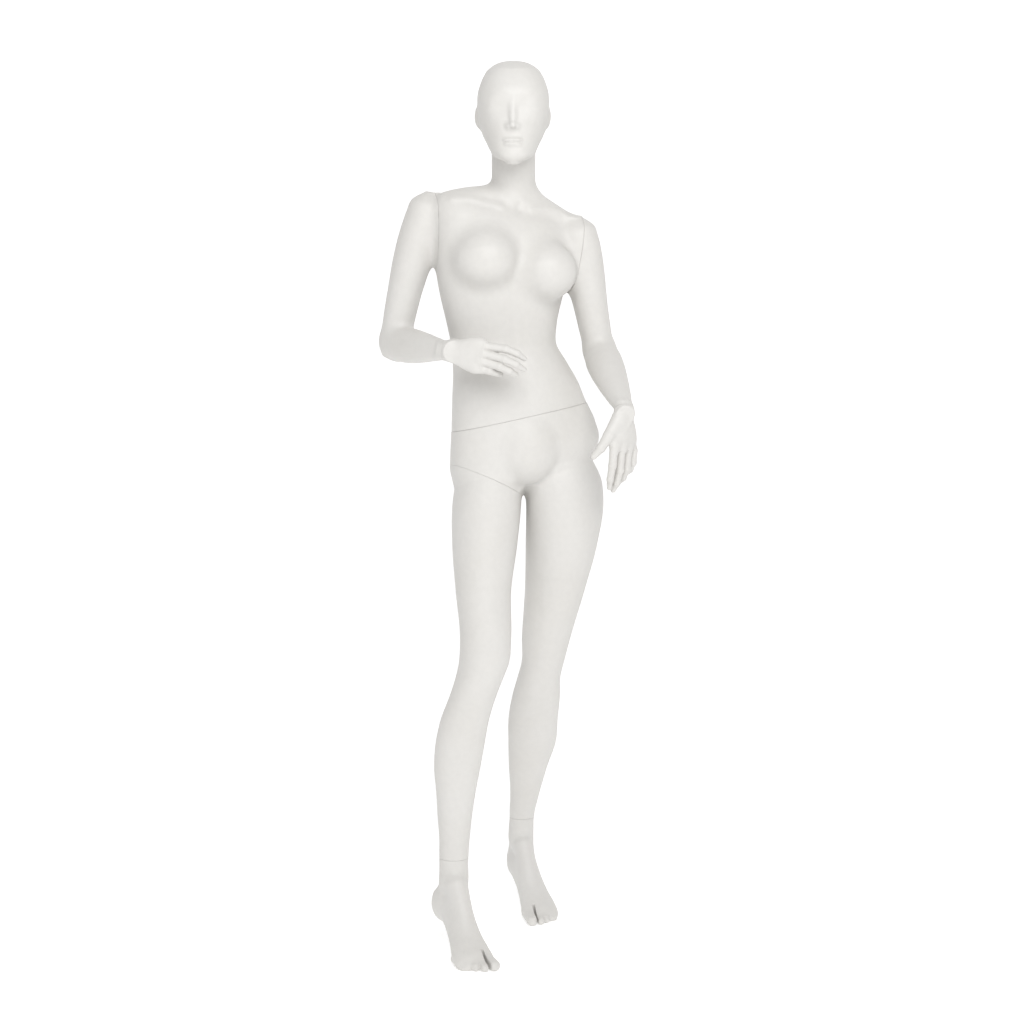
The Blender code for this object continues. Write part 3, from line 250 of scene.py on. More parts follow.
LEFT_ARM = dict(
    shoulder=(0.135, 0.042, 1.452),
    elbow=(0.177, 0.066, 1.226),
    bow=(-0.001, 0.0, 0.0),
    wrist=(0.218, -0.128, 1.118),
    knuckles=(0.218, -0.126, 1.042),
    across=(0.66, 0.74, -0.12),
    thumb=(
        (0.207, -0.14, 1.098),
        (0.187, -0.156, 1.066),
        (0.172, -0.16, 1.042),
        (0.158, -0.157, 1.026),
    ),
    fingers=(
        ((0.1985, -0.148, 1.048), (0.195, -0.15, 1.007), (0.191, -0.142, 0.98), (0.19, -0.132, 0.963)),
        ((0.213, -0.133, 1.044), (0.21, -0.136, 0.998), (0.204, -0.128, 0.971), (0.198, -0.118, 0.957)),
        ((0.2265, -0.118, 1.038), (0.224, -0.119, 0.999), (0.217, -0.112, 0.981), (0.207, -0.104, 0.969)),
        ((0.2375, -0.102, 1.034), (0.2365, -0.102, 1.01), (0.231, -0.098, 0.996), (0.223, -0.093, 0.987)),
    ),
)

# Feet: where the ball of the foot stands and which way it points. X in a foot's own frame runs to the big toe
RIGHT_FOOT = dict(stand=(-0.0805, -0.115), turn=math.radians(21.5), side=1, ankle=0.029, heel=-0.007)
LEFT_FOOT = dict(stand=(0.0575, 0.215), turn=math.radians(17.0), side=-1, ankle=0.0262, heel=-0.001)

# Toes from the big one outwards: two ends and their radii
TOES = (
    ((0.024, 0.004, 0.017), (0.03, 0.048, 0.0125), 0.0145, 0.0115),
    ((0.0065, 0.002, 0.015), (0.01, 0.047, 0.0095), 0.0095, 0.008),
    ((-0.0065, -0.004, 0.014), (-0.005, 0.037, 0.009), 0.0092, 0.0078),
    ((-0.018, -0.012, 0.013), (-0.0185, 0.026, 0.0085), 0.009, 0.0075),
    ((-0.028, -0.02, 0.012), (-0.027, 0.013, 0.0085), 0.009, 0.0075),
)

# Sole: the share of the way from the toes to the heel, the half width and the half thickness
SOLE = (
    (-0.2, 0.03, 0.012),
    (-0.08, 0.0385, 0.018),
    (0.08, 0.0385, 0.0205),
    (0.3, 0.033, 0.0225),
    (0.6, 0.0285, 0.029),
    (0.85, 0.027, 0.035),
    (1.02, 0.0255, 0.033),
    (1.15, 0.017, 0.023),
)
# The slit beside the big toe
SLIT = dict(middle=0.0165, half_width=0.0026, end=0.013, slant=0.06)

# Details of the chest and the face, as seen from the front
COLLARBONES = (
    ((-0.02, 1.512), (-0.05, 1.52), (-0.084, 1.529), (-0.118, 1.528)),
    ((0.04, 1.508), (0.07, 1.509), (0.1, 1.508), (0.118, 1.5)),
)
NOTCH = ((0.012, 1.516), (0.013, 1.505))
FACE_MIDDLE = 0.0015
FACE_HEIGHTS = (1.605, 1.735)
FACE_DEPTH = -0.035

# Rounded tops of the shoulders: two ends and their radii
SHOULDER_LINES = (
    ((-0.118, 0.03, 1.504), (-0.166, 0.026, 1.502), 0.029, 0.03),
    ((0.038, 0.045, 1.5215), (0.125, 0.045, 1.463), 0.027, 0.028),
)

# Seams: a point on each and the way it faces
WAIST = (Vector((0.014, 0.034, 1.093)), Vector((-0.207, 0.0, 0.978)).normalized())
RIGHT_SHOULDER = (Vector((-0.156, 0.024, 1.468)), Vector((-0.979, -0.204, 0.0)).normalized())
LEFT_SHOULDER = (Vector((0.13, 0.042, 1.445)), Vector((0.95, 0.272, -0.157)).normalized())
GROIN = (Vector((-0.046, 0.022, 0.962)), Vector((0.386, 0.171, 0.907)).normalized())
CROTCH = (Vector((0.0215, 0.022, 0.941)), Vector((0.998, 0.0, -0.06)).normalized())
RIGHT_ANKLE = (Vector((-0.1195, 0.007, 0.191)), Vector((0.0, 0.0, 1.0)))
LEFT_ANKLE = (Vector((0.0215, 0.33, 0.199)), Vector((0.0, 0.0, 1.0)))
RIGHT_WRIST = (Vector(RIGHT_ARM["wrist"]), Vector((0.864, -0.498, -0.073)).normalized())
LEFT_WRIST = (Vector(LEFT_ARM["wrist"]), Vector((0.09, -0.45, -0.89)).normalized())
WAIST_TURN = next(joint for joint in frame["joints"] if joint["name"] == "waist_turn")
SHIFT = Vector(WAIST_TURN["pos_m"]) - WAIST[0]  # from these measures to the frame's own

# The two corners of the box that each skin is drawn in
UPPER_BOX = ((-0.26, -0.16, 1.04), (0.22, 0.17, 1.84))
LOWER_BOX = ((-0.2, -0.16, 0.16), (0.24, 0.44, 1.16))
RIGHT_LEG_BOX = ((-0.2, -0.16, 0.16), (0.06, 0.18, 1.04))
RIGHT_ARM_BOX = ((-0.32, -0.2, 1.14), (0.0, 0.16, 1.62))
LEFT_ARM_BOX = ((0.0, -0.2, 1.0), (0.3, 0.18, 1.58))
RIGHT_HAND_BOX = ((-0.17, -0.19, 1.14), (0.05, -0.03, 1.3))
LEFT_HAND_BOX = ((0.12, -0.2, 0.93), (0.28, -0.04, 1.15))
RIGHT_FOOT_BOX = ((-0.22, -0.22, -0.02), (0.02, 0.1, 0.23))
LEFT_FOOT_BOX = ((-0.05, 0.1, -0.02), (0.13, 0.42, 0.23))


# --- Fields: each returns roughly how far the points are outside a shape, negative inside it


def smooth_min(a, b, blend):
    share = np.clip(0.5 + 0.5 * (b - a) / blend, 0.0, 1.0)
    return b + (a - b) * share - blend * share * (1.0 - share)


def smooth_union(fields, blend):
    joined = fields[0]
    for field in fields[1:]:
        joined = smooth_min(joined, field, blend)
    return joined


def smooth_cut(a, b, blend):
    return -smooth_min(-a, b, blend)


def read_rows(rows, at):
    """Every column of a table, read at these places along a curve through its rows."""
    rows = np.array(sorted(rows))
    fine = np.linspace(rows[0, 0], rows[-1, 0], 160)
    slopes = np.gradient(rows[:, 1:], rows[:, 0], axis=0)
    after = np.clip(np.searchsorted(rows[:, 0], fine), 1, len(rows) - 1)
    before = after - 1
    width = rows[after, 0] - rows[before, 0]
    t = ((fine - rows[before, 0]) / width)[:, None]
    width = width[:, None]
    curve = (
        (2 * t**3 - 3 * t**2 + 1) * rows[before, 1:]
        + (t**3 - 2 * t**2 + t) * width * slopes[before]
        + (3 * t**2 - 2 * t**3) * rows[after, 1:]
        + (t**3 - t**2) * width * slopes[after]
    )
    return [np.interp(at, fine, column) for column in curve.T]


def section(u, v, half_width, front, back, power):
    """Distance from a rounded section, v being negative in front."""
    depth = np.where(v < 0, front, back)
    reach = np.hypot(u, v) + 1e-6
    share = ((np.abs(u) / half_width) ** power + (np.abs(v) / depth) ** power) ** (1 / power) + 1e-9
    return reach - reach / share


def column(p, rows, turn, power, lean=None):
    """A body of upright sections, such as a trunk or a leg."""
    x, y, z = p.T
    height = z
    if lean is not None:
        middle = read_rows(rows, z)[0]
        height = z + read_rows(lean, z)[0] * (x - middle)
    middle, depth, half_width, front, back = read_rows(rows, height)
    dx = x - middle
    dy = y - depth
    u = dx * math.cos(turn) + dy * math.sin(turn)
    v = dy * math.cos(turn) - dx * math.sin(turn)
    field = section(u, v, half_width, front, back, power)
    ends = np.maximum(min(row[0] for row in rows) - height, height - max(row[0] for row in rows))
    return np.maximum(field, ends)


def beam(p, start, end, across, rows, power=2.1, bow=(0, 0, 0)):
    """A body of sections along a line, such as a forearm, with its width along "across".

    "bow" is how far the middle of the line is pushed aside.
    """
    start = np.array(start)
    along = np.array(end) - start
    length = np.linalg.norm(along)
    along = along / length
    across = np.array(across) - np.dot(across, along) * along
    across = across / np.linalg.norm(across)
    offset = p - start
    share = offset @ along / length
    offset = offset - np.sin(math.pi * np.clip(share, 0, 1))[:, None] * np.array(bow)
    half_width, half_depth = read_rows(rows, share)
    through = np.cross(along, across)
    field = section(offset @ across, offset @ through, half_width, half_depth, half_depth, power)
    ends = np.maximum(rows[0][0] - share, share - rows[-1][0]) * length
    return np.maximum(field, ends)


def ball(p, centre, radii):
    q = p - np.array(centre)
    radii = np.array(radii) * np.ones(3)
    reach = np.linalg.norm(q / radii, axis=1)
    return reach * (reach - 1) / (np.linalg.norm(q / radii**2, axis=1) + 1e-9)


def cone(p, start, end, first, last):
    """A round bar from one ball to another."""
    start = np.array(start)
    along = np.array(end) - start
    share = np.clip((p - start) @ along / np.dot(along, along), 0, 1)
    return np.linalg.norm(p - start - share[:, None] * along, axis=1) - (first + (last - first) * share)


def chain(p, joints, radii):
    bars = [cone(p, *ends) for ends in zip(joints, joints[1:], radii, radii[1:])]
    return smooth_union(bars, 0.003)


def plane(p, seam):
    return (p - np.array(seam[0])) @ np.array(seam[1])


def turned(centre, sideways, forwards):
    """A place given from a centre in the body's own directions: to its left, and to its front."""
    return (
        centre[0] + sideways * math.cos(BODY_TURN) + forwards * math.sin(BODY_TURN),
        centre[1] + sideways * math.sin(BODY_TURN) - forwards * math.cos(BODY_TURN),
    )


# --- The body


def near(value, middle, width):
    """A soft bump: 1 in the middle, fading out over the width."""
    return np.exp(-(((value - middle) / width) ** 2))


def between(value, low, high, soft):
    """1 between two values, fading softly to 0 beyond them."""
    rise = np.clip((value - low) / soft + 0.5, 0, 1)
    fall = np.clip((high - value) / soft + 0.5, 0, 1)
    return rise * rise * (3 - 2 * rise) * fall * fall * (3 - 2 * fall)


def ridge(across, up, line, width):
    """1 on a line drawn across a surface seen flat, fading out over the width."""
    best = np.full(len(up), 1e9)
    for (x1, z1), (x2, z2) in zip(line, line[1:]):
        length = (x2 - x1) ** 2 + (z2 - z1) ** 2
        share = np.clip(((across - x1) * (x2 - x1) + (up - z1) * (z2 - z1)) / length, 0, 1)
        best = np.minimum(best, np.hypot(across - x1 - share * (x2 - x1), up - z1 - share * (z2 - z1)))
    return np.exp(-((best / width) ** 2))


def trunk_relief(p):
    """How far the surface of the trunk stands proud of its sections."""
    x, y, z = p.T
    middle, depth = read_rows(TRUNK, z)[:2]
    across = (x - middle) * math.cos(BODY_TURN) + (y - depth) * math.sin(BODY_TURN)
    forwards = (x - middle) * math.sin(BODY_TURN) - (y - depth) * math.cos(BODY_TURN)
    front = np.clip(forwards / 0.02, 0, 1)
    back = np.clip(-forwards / 0.02, 0, 1)
    relief = np.zeros(len(p))
    for bone, height in zip(COLLARBONES, (0.005, 0.0046)):
        relief += height * front * ridge(x, z, bone, 0.0075)
        hollow = [(a, b + 0.019) for a, b in bone]
        relief -= 0.4 * height * front * ridge(x, z, hollow, 0.012)
    relief -= 0.0045 * front * ridge(x, z, NOTCH, 0.0075)
    relief -= 0.0022 * front * near(across, 0.0, 0.016) * between(z, 1.33, 1.46, 0.05)
    relief -= 0.0016 * front * near(across, 0.0, 0.013) * between(z, 1.13, 1.3, 0.06)
    relief -= 0.005 * back * near(across, 0.0, 0.014) * between(z, 1.09, 1.47, 0.08)
    relief += 0.0042 * back * near(np.abs(across), 0.036, 0.02) * between(z, 1.05, 1.3, 0.1)
    for side in (-1, 1):
        blade = ((side * 0.05, 1.345), (side * 0.06, 1.4), (side * 0.088, 1.445))
        relief += 0.005 * back * ridge(across, z, blade, 0.024)
    return relief


def trunk(p):
    field = column(p, TRUNK, BODY_TURN, 2.25, LEAN) - trunk_relief(p)
    chest = (-0.012, 0.033)
    for sideways, height in ((-0.063, 1.409), (0.062, 1.385)):
        x, y = turned(chest, sideways, 0.07)
        top_x, top_y = turned(chest, 0.92 * sideways, 0.04)
        breast = ball(p, (x, y, height), (0.061, 0.048, 0.057))
        slope = cone(p, (top_x, top_y, height + 0.066), (x, y, height), 0.024, 0.043)
        field = smooth_min(field, smooth_min(breast, slope, 0.024), 0.021)
    seat = (0.032, 0.045)
    for sideways, height in ((-0.064, 0.991), (0.07, 1.006)):
        x, y = turned(seat, sideways, -0.042)
        field = smooth_min(field, ball(p, (x, y, height), (0.07, 0.064, 0.075)), 0.045)
    for line in SHOULDER_LINES:
        field = smooth_min(field, cone(p, *line), 0.012)
    return field


def belly(p):
    return ball(p, (0.022, 0.006, 1.044), (0.08, 0.075, 0.086))


def neck(p):
    return column(p, NECK, 0.0, 2.0)


def skull(p):
    q = (p - np.array((0.0025, 0.02, 1.714))) / np.array((0.0695, 0.094, 0.085))
    crown = ((np.abs(q) ** 2.5).sum(axis=1) ** (1 / 2.5) - 1) * 0.08
    return smooth_min(crown, column(p, FACE, 0.0, 2.25), 0.022)


def mirrored(p, middle):
    """The points with their left side folded onto their right."""
    q = p.copy()
    q[:, 0] = np.abs(q[:, 0] - middle)
    return q


def head(p):
    q = mirrored(p, FACE_MIDDLE)
    field = skull(p)
    ear = ball(q, (0.0675, 0.022, 1.692), (0.0085, 0.016, 0.02))
    lobe = ball(q, (0.062, 0.018, 1.676), (0.0062, 0.011, 0.011))
    field = smooth_min(field, smooth_min(ear, lobe, 0.01), 0.005)
    socket = ball(q, (0.027, -0.092, 1.702), (0.02, 0.0125, 0.011))
    field = smooth_cut(field, socket, 0.024)
    nose = cone(q, (0.0, -0.07, 1.712), (0.0, -0.0855, 1.668), 0.0046, 0.0054)
    nose = smooth_min(nose, ball(q, (0.0, -0.0862, 1.666), (0.006, 0.0075, 0.0058)), 0.005)
    nose = smooth_min(nose, ball(q, (0.0078, -0.079, 1.6645), (0.0046, 0.007, 0.0052)), 0.005)
    field = smooth_min(field, nose, 0.009)
    field = smooth_min(field, ball(q, (0.0, -0.062, 1.609), (0.022, 0.016, 0.014)), 0.016)
    upper_lip = ball(q, (0.0055, -0.0782, 1.6375), (0.012, 0.007, 0.0038))
    lower_lip = ball(q, (0.0015, -0.0778, 1.6298), (0.014, 0.008, 0.005))
    lips = smooth_min(upper_lip, lower_lip, 0.0016)
    return smooth_min(field, lips, 0.006)


def upper_arm(p, joints):
    return beam(p, joints["shoulder"], joints["elbow"], (1, 0, 0), UPPER_ARM, bow=joints["bow"])


def arm(p, joints):
    upper = upper_arm(p, joints)
    fore = beam(p, joints["elbow"], joints["wrist"], joints["across"], FOREARM)
    palm = beam(p, joints["wrist"], joints["knuckles"], joints["across"], PALM, 2.5)
    return smooth_min(smooth_min(upper, fore, 0.018), palm, 0.018)


def hand(p, joints):
    fingers = chain(p, joints["fingers"][0], FINGER_RADII)
    for finger in joints["fingers"][1:]:
        fingers = smooth_min(fingers, chain(p, finger, FINGER_RADII), 0.0015)
    field = smooth_min(arm(p, joints), fingers, 0.013)
    return smooth_min(field, chain(p, joints["thumb"], THUMB_RADII), 0.008)


def leg(p, rows):
    return column(p, rows, 0.0, 2.1)


def foot(p, placing):
    turn = placing["turn"]
    ankle = placing["ankle"]
    dx = p[:, 0] - placing["stand"][0]
    dy = p[:, 1] - placing["stand"][1]
    q = np.stack(
        [
            placing["side"] * (dx * math.cos(turn) + dy * math.sin(turn)),
            dx * math.sin(turn) - dy * math.cos(turn),
            p[:, 2],
        ],
        axis=1,
    )
    sole = beam(q, (-0.001, 0.004, 0.021), (0.001, -0.128, 0.098), (1, 0, 0.12), SOLE, 2.2)
    parts = (
        sole,
        cone(q, (0.006, -0.02, 0.034), (0.003, -0.098, 0.138), 0.015, ankle - 0.005),
        cone(q, (0.004, -0.118, 0.14), (0.008, -0.126, 0.175), ankle - 0.007, ankle - 0.018),
        ball(q, (placing["heel"], -0.144, 0.092), (0.0255, 0.031, 0.036)),
        cone(q, (0.004, -0.138, 0.125), (0.008, -0.13, 0.17), 0.013, 0.008),
    )
    field = smooth_union(parts, 0.018)
    for side, height in ((1, 0.15), (-1, 0.14)):
        knuckle = ball(q, (0.004 + side * (ankle - 0.01), -0.118, height), (0.0075, 0.012, 0.014))
        field = smooth_min(field, knuckle, 0.01)
    toes = cone(q, *TOES[1])
    for toe in TOES[2:]:
        toes = smooth_min(toes, cone(q, *toe), 0.0022)
    field = smooth_min(field, toes, 0.008)
    field = smooth_min(field, cone(q, *TOES[0]), 0.008)
    past_end = q[:, 1] - SLIT["end"]
    slit = np.abs(q[:, 0] - SLIT["middle"] - SLIT["slant"] * past_end) - SLIT["half_width"]
    return smooth_cut(field, np.maximum(slit, -past_end), 0.0016)


def upper_body(p):
    field = smooth_min(trunk(p), neck(p), 0.022)
    field = smooth_min(field, head(p), 0.014)
    for joints, seam in ((RIGHT_ARM, RIGHT_SHOULDER), (LEFT_ARM, LEFT_SHOULDER)):
        reach = np.maximum(plane(p, seam) - STUB, ball(p, seam[0], STUB_BALL))
        stub = np.maximum(upper_arm(p, joints), reach)
        field = smooth_min(field, stub, SHOULDER_BLEND)
    return smooth_min(field, belly(p), BELLY_BLEND)


def standing_leg(p, rows, placing):
    return smooth_min(leg(p, rows), foot(p, placing), 0.014)


def lower_body(p):
    hips = trunk(p)
    right = smooth_min(hips, standing_leg(p, RIGHT_LEG, RIGHT_FOOT), HIP_BLEND)
    left = smooth_min(hips, standing_leg(p, LEFT_LEG, LEFT_FOOT), HIP_BLEND)
    return smooth_min(smooth_min(right, left, 0.003), belly(p), BELLY_BLEND)


def whole_arm(p, joints):
    """An arm and hand with the part of the chest that its shoulder blends into."""
    chest = np.maximum(trunk(p), ball(p, joints["shoulder"], CHEST_PART))
    return smooth_min(hand(p, joints), chest, SHOULDER_BLEND)


# --- Skins: the zero surface of a field as a mesh of quads


def lattice(box, step):
    return [np.arange(low, high + step, step) for low, high in zip(*box)]


def sample(field, axes, step):
    """The field on the lattice, worked out only near its surface."""
    thin = [axis[::COARSE] for axis in axes]
    points = np.stack(np.meshgrid(*thin, indexing="ij"), axis=-1)
    rough = field(points.reshape(-1, 3)).reshape(points.shape[:3])
    nearest = [(np.arange(len(axis)) + COARSE // 2) // COARSE for axis in axes]
    pick = [np.minimum(index, len(short) - 1) for index, short in zip(nearest, thin)]
    values = rough[np.ix_(*pick)]
    near = np.abs(values) < 2.2 * COARSE * step
    index = np.argwhere(near)
    places = np.stack([axes[i][index[:, i]] for i in range(3)], axis=1)
    values[near] = field(places)
    for axis in range(3):
        border = np.moveaxis(values, axis, 0)
        border[[0, -1]] = np.maximum(border[[0, -1]], 0.5 * step)
    fill_pinches(values, 0.02 * step)
    return values


def fill_pinches(values, depth):
    """Fills corners of the lattice where two stretches of the body would meet along a bare edge."""
    for _ in range(8):
        filled = 0
        for first, second in ((0, 1), (1, 2), (0, 2)):
            views = {}
            for i in (0, 1):
                for j in (0, 1):
                    pick = [slice(None)] * 3
                    pick[first] = slice(1, None) if i else slice(0, -1)
                    pick[second] = slice(1, None) if j else slice(0, -1)
                    views[i, j] = values[tuple(pick)]
            for a, b, c, d in (((0, 0), (1, 1), (0, 1), (1, 0)), ((0, 1), (1, 0), (0, 0), (1, 1))):
                pinch = (views[a] < 0) & (views[b] < 0) & (views[c] >= 0) & (views[d] >= 0)
                views[c][pinch] = -depth
                filled += pinch.sum()
        if not filled:
            break


def skin(field, box, step):
    """Corners and quads of the surface where the field is zero, by surface nets."""
    axes = lattice(box, step)
    values = sample(field, axes, step)
    inside = values < 0
    shape = tuple(n - 1 for n in values.shape)

    def corner(grid, d):
        return grid[d[0]:d[0] + shape[0], d[1]:d[1] + shape[1], d[2]:d[2] + shape[2]]

    corners = [np.array((i, j, k)) for i in (0, 1) for j in (0, 1) for k in (0, 1)]
    count = np.zeros(shape)
    total = np.zeros(shape + (3,))
    for a in corners:
        for b in corners:
            if (b - a).sum() != 1 or (b - a).min() < 0:
                continue
            crossed = corner(inside, a) != corner(inside, b)
            first = corner(values, a)[crossed]
            last = corner(values, b)[crossed]
            share = (first / (first - last))[:, None]
            total[crossed] += a + share * (b - a)
            count[crossed] += 1
    used = count > 0
    number = np.full(shape, -1)
    number[used] = np.arange(used.sum())
    cells = np.argwhere(used)
    vertices = np.array([axis[0] for axis in axes]) + step * (cells + total[used] / count[used][:, None])
    quads = []
    for axis in range(3):
        other = [(axis + 1) % 3, (axis + 2) % 3]
        ahead = [0, 0, 0]
        ahead[axis] = 1
        near = tuple(slice(0, n - 1) if d == axis else slice(1, n - 1) for d, n in enumerate(values.shape))
        far = tuple(slice(1, n) if d == axis else slice(1, n - 1) for d, n in enumerate(values.shape))
        crossed = inside[near] != inside[far]
        start = np.argwhere(crossed) + np.array([0 if d == axis else 1 for d in range(3)])
        outward = inside[near][crossed]
        ring = []
        for du, dv in ((1, 1), (0, 1), (0, 0), (1, 0)):
            cell = start.copy()
            cell[:, other[0]] -= du
            cell[:, other[1]] -= dv
            ring.append(number[tuple(cell.T)])
        ring = np.stack(ring, axis=1)
        ring[~outward] = ring[~outward][:, ::-1]
        quads.append(ring)
    return settle(field, vertices, np.concatenate(quads), step)


def settle(field, vertices, quads, step):
    """Evens out the corners and brings them onto the surface."""
    edges = np.concatenate([quads[:, [i, (i + 1) % 4]] for i in range(4)])
    edges = np.concatenate([edges, edges[:, ::-1]])
    for turn in range(SETTLE_TURNS):
        if turn < EVEN_TURNS:
            summed = np.zeros_like(vertices)
            tally = np.zeros(len(vertices))
            np.add.at(summed, edges[:, 0], vertices[edges[:, 1]])
            np.add.at(tally, edges[:, 0], 1)
            met = tally > 0
            vertices[met] = 0.5 * vertices[met] + 0.5 * summed[met] / tally[met][:, None]
        here = field(vertices)
        slope = slope_of(field, vertices, here, 0.05 * step)
        length = (slope**2).sum(axis=1) + 1e-6
        move = -(here / length)[:, None] * slope
        reach = np.linalg.norm(move, axis=1)[:, None]
        vertices = vertices + move * np.minimum(1, 0.5 * step / (reach + 1e-12))
    return vertices, quads


# --- Pieces


def along(seam):
    """The frame of a seam: its own Z runs the way it faces."""
    return Matrix.Translation(seam[0]) @ seam[1].to_track_quat("Z", "Y").to_matrix().to_4x4()


def link(name, mesh):
    obj = bpy.data.objects.new(name, mesh)
    bpy.context.scene.collection.objects.link(obj)
    return obj


def mesh_of(name, shape):
    mesh = bpy.data.meshes.new(name)
    shape.to_mesh(mesh)
    shape.free()
    return mesh


def block(name, seam, side, reach, past=GAP / 2):
    """A cutter that fills one side of a seam."""
    shape = bmesh.new()
    bmesh.ops.create_cube(shape, size=2 * reach)
    bmesh.ops.translate(shape, verts=shape.verts, vec=(0, 0, side * (reach - past)))
    obj = link(name, mesh_of(name, shape))
    obj.matrix_world = along(seam)
    return obj


def spun(name, profile, place):
    """A cutter turned about the Z of its place."""
    shape = bmesh.new()
    corners = [shape.verts.new((radius, 0, height)) for radius, height in profile]
    edges = [shape.edges.new(pair) for pair in zip(corners, corners[1:])]
    bmesh.ops.spin(
        shape,
        geom=corners + edges,
        cent=(0, 0, 0),
        axis=(0, 0, 1),
        angle=math.tau,
        steps=48,
        use_merge=True,
    )
    bmesh.ops.remove_doubles(shape, verts=shape.verts, dist=1e-5)
    bmesh.ops.recalc_face_normals(shape, faces=shape.faces)
    obj = link(name, mesh_of(name, shape))
    obj.matrix_world = place
    return obj


def cut(obj, *cutters):
    for cutter in cutters:
        step = obj.modifiers.new(cutter.name, "BOOLEAN")
        step.operation = "DIFFERENCE"
        step.solver = "MANIFOLD"
        step.object = cutter


def seat(name, size, depth, place):
    """A cutter for a fitting's flange and, to this depth, its barrel."""
    flange, barrel, _, thick = [value + GAP for value in size]
    depth += GAP
    profile = (
        (0, -SEAT_PAST),
        (flange, -SEAT_PAST),
        (flange, thick),
        (barrel, thick),
        (barrel, depth),
        (0, depth),
    )
    return spun(name, profile, place @ Matrix.Translation((0, 0, GAP / 2)))


def bush_seat(name, seam, size):
    """The hollow that a bush sits in, behind its seam."""
    return seat(name, size, size[2], along(seam) @ Matrix.Rotation(math.pi, 4, "X"))


def stud_seat(name, seam, size):
    """The hollow that a stud's boss sits in, in front of its seam."""
    return seat(name, size, BOSS_SHARE * size[2], along(seam))


def down(seam):
    return seam[0], -seam[1]


def surface(name, field, box, step):
    """A closed skin of this field as a mesh."""
    vertices, quads = skin(field, box, step)
    mesh = bpy.data.meshes.new(name)
    mesh.from_pydata(vertices.tolist(), [], quads.tolist())
    mesh.update()
    return mesh


def refine(mesh, field, wanted, rounds):
    """Splits the faces that are wanted and brings their new corners onto the surface."""
    shape = bmesh.new()
    shape.from_mesh(mesh)
    for _ in range(rounds):
        centres = np.array([face.calc_center_median() for face in shape.faces])
        picked = [face for face, take in zip(list(shape.faces), wanted(centres)) if take]
        edges = list(dict.fromkeys(edge for face in picked for edge in face.edges))
        bmesh.ops.subdivide_edges(shape, edges=edges, cuts=1, use_grid_fill=True)
        bmesh.ops.triangulate(shape, faces=[face for face in shape.faces if len(face.verts) > 4])
        places = np.array([corner.co for corner in shape.verts])
        near = wanted(places)
        places[near] = onto_surface(field, places[near], 0.001)
        for corner, place, moved in zip(shape.verts, places, near):
            if moved:
                corner.co = place
    shape.to_mesh(mesh)
    shape.free()
    mesh.update()


def onto_surface(field, places, reach):
    for _ in range(3):
        here = field(places)
        slope = slope_of(field, places, here, PROBE)
        move = -(here / ((slope**2).sum(axis=1) + 1e-6))[:, None] * slope
        length = np.linalg.norm(move, axis=1)[:, None]
        places = places + move * np.minimum(1, reach / (length + 1e-12))
    return places


def slope_of(field, places, here, probe):
    return np.stack([(field(places + probe * axis) - here) / probe for axis in np.eye(3)], axis=1)


def groin_fade(places):
    """The groin seam closes up towards the outside of the thigh."""
    return np.clip((places[:, 0] + 0.075) / 0.05, 0.25, 1)


def soften_lips(shape, field, seam):
    """Rolls the rim of a cut inwards, so that a seam reads as a fine groove."""
    point, normal = seam
    for side in (-1, 1):
        bmesh.ops.bisect_plane(
            shape,
            geom=shape.verts[:] + shape.edges[:] + shape.faces[:],
            dist=1e-7,
            plane_co=point + side * (GAP / 2 + LIP_REACH) * normal,
            plane_no=normal,
        )
    shape.normal_update()
    rims = {}
    for face in shape.faces:
        if abs(face.normal.dot(normal)) > LIP_FACING and all(
            abs(abs((corner.co - point).dot(normal)) - GAP / 2) < LIP_ON_SEAM for corner in face.verts
        ):
            rims.update(dict.fromkeys(face.verts))
    if not rims:
        return
    places = np.array([corner.co for corner in rims])
    here = field(places)
    slope = slope_of(field, places, here, PROBE)
    slope -= (slope @ np.array(normal))[:, None] * np.array(normal)
    slope /= np.linalg.norm(slope, axis=1)[:, None] + 1e-9
    depth = np.where(np.abs(here) < LIP_ON_SKIN, LIP_DEPTH, 0.0)
    if seam is GROIN:
        depth = depth * groin_fade(places)
    for corner, place in zip(rims, places - depth[:, None] * slope):
        corner.co = place


def finish_piece(name, mesh, field, cutters, lips, body, node):
    """Cuts a skin along its seams, softens their rims and hands the piece to the frame."""
    raw = link(name + "_raw", mesh)
    cut(raw, *cutters)
    bpy.context.view_layer.update()
    graph = bpy.context.evaluated_depsgraph_get()
    made = bpy.data.meshes.new_from_object(raw.evaluated_get(graph))
    made.name = name
    shape = bmesh.new()
    shape.from_mesh(made)
    for seam in lips:
        soften_lips(shape, field, seam)
    bmesh.ops.dissolve_degenerate(shape, dist=1e-6, edges=shape.edges)
    keep_largest(shape)
    bmesh.ops.translate(shape, verts=shape.verts, vec=SHIFT)
    bmesh.ops.recalc_face_normals(shape, faces=shape.faces)
    shape.to_mesh(made)
    shape.free()
    made.materials.clear()
    made.materials.append(PLASTIC)
    made.shade_smooth()
    made.set_sharp_from_angle(angle=SHARP_ANGLE)
    piece = link(name, made)
    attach(piece, body)
    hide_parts(node)
    for helper in (raw, *cutters):
        bpy.data.objects.remove(helper, do_unlink=True)


def keep_largest(shape):
    """Drops any loose crumb that a cut has left."""
    left = set(shape.faces)
    islands = []
    while left:
        queue = [left.pop()]
        island = []
        while queue:
            face = queue.pop()
            island.append(face)
            for edge in face.edges:
                for other in edge.link_faces:
                    if other in left:
                        left.discard(other)
                        queue.append(other)
        islands.append(island)
    islands.sort(key=len)
    for island in islands[:-1]:
        crumb = list(dict.fromkeys(corner for face in island for corner in face.verts))
        bmesh.ops.delete(shape, geom=crumb, context="VERTS")


def clipped(field, *limits):
    """The field with everything more than a little past these seams left out."""

    def bounded(p):
        return np.maximum.reduce([field(p), *[side * plane(p, seam) - BEYOND for seam, side in limits]])

    return bounded


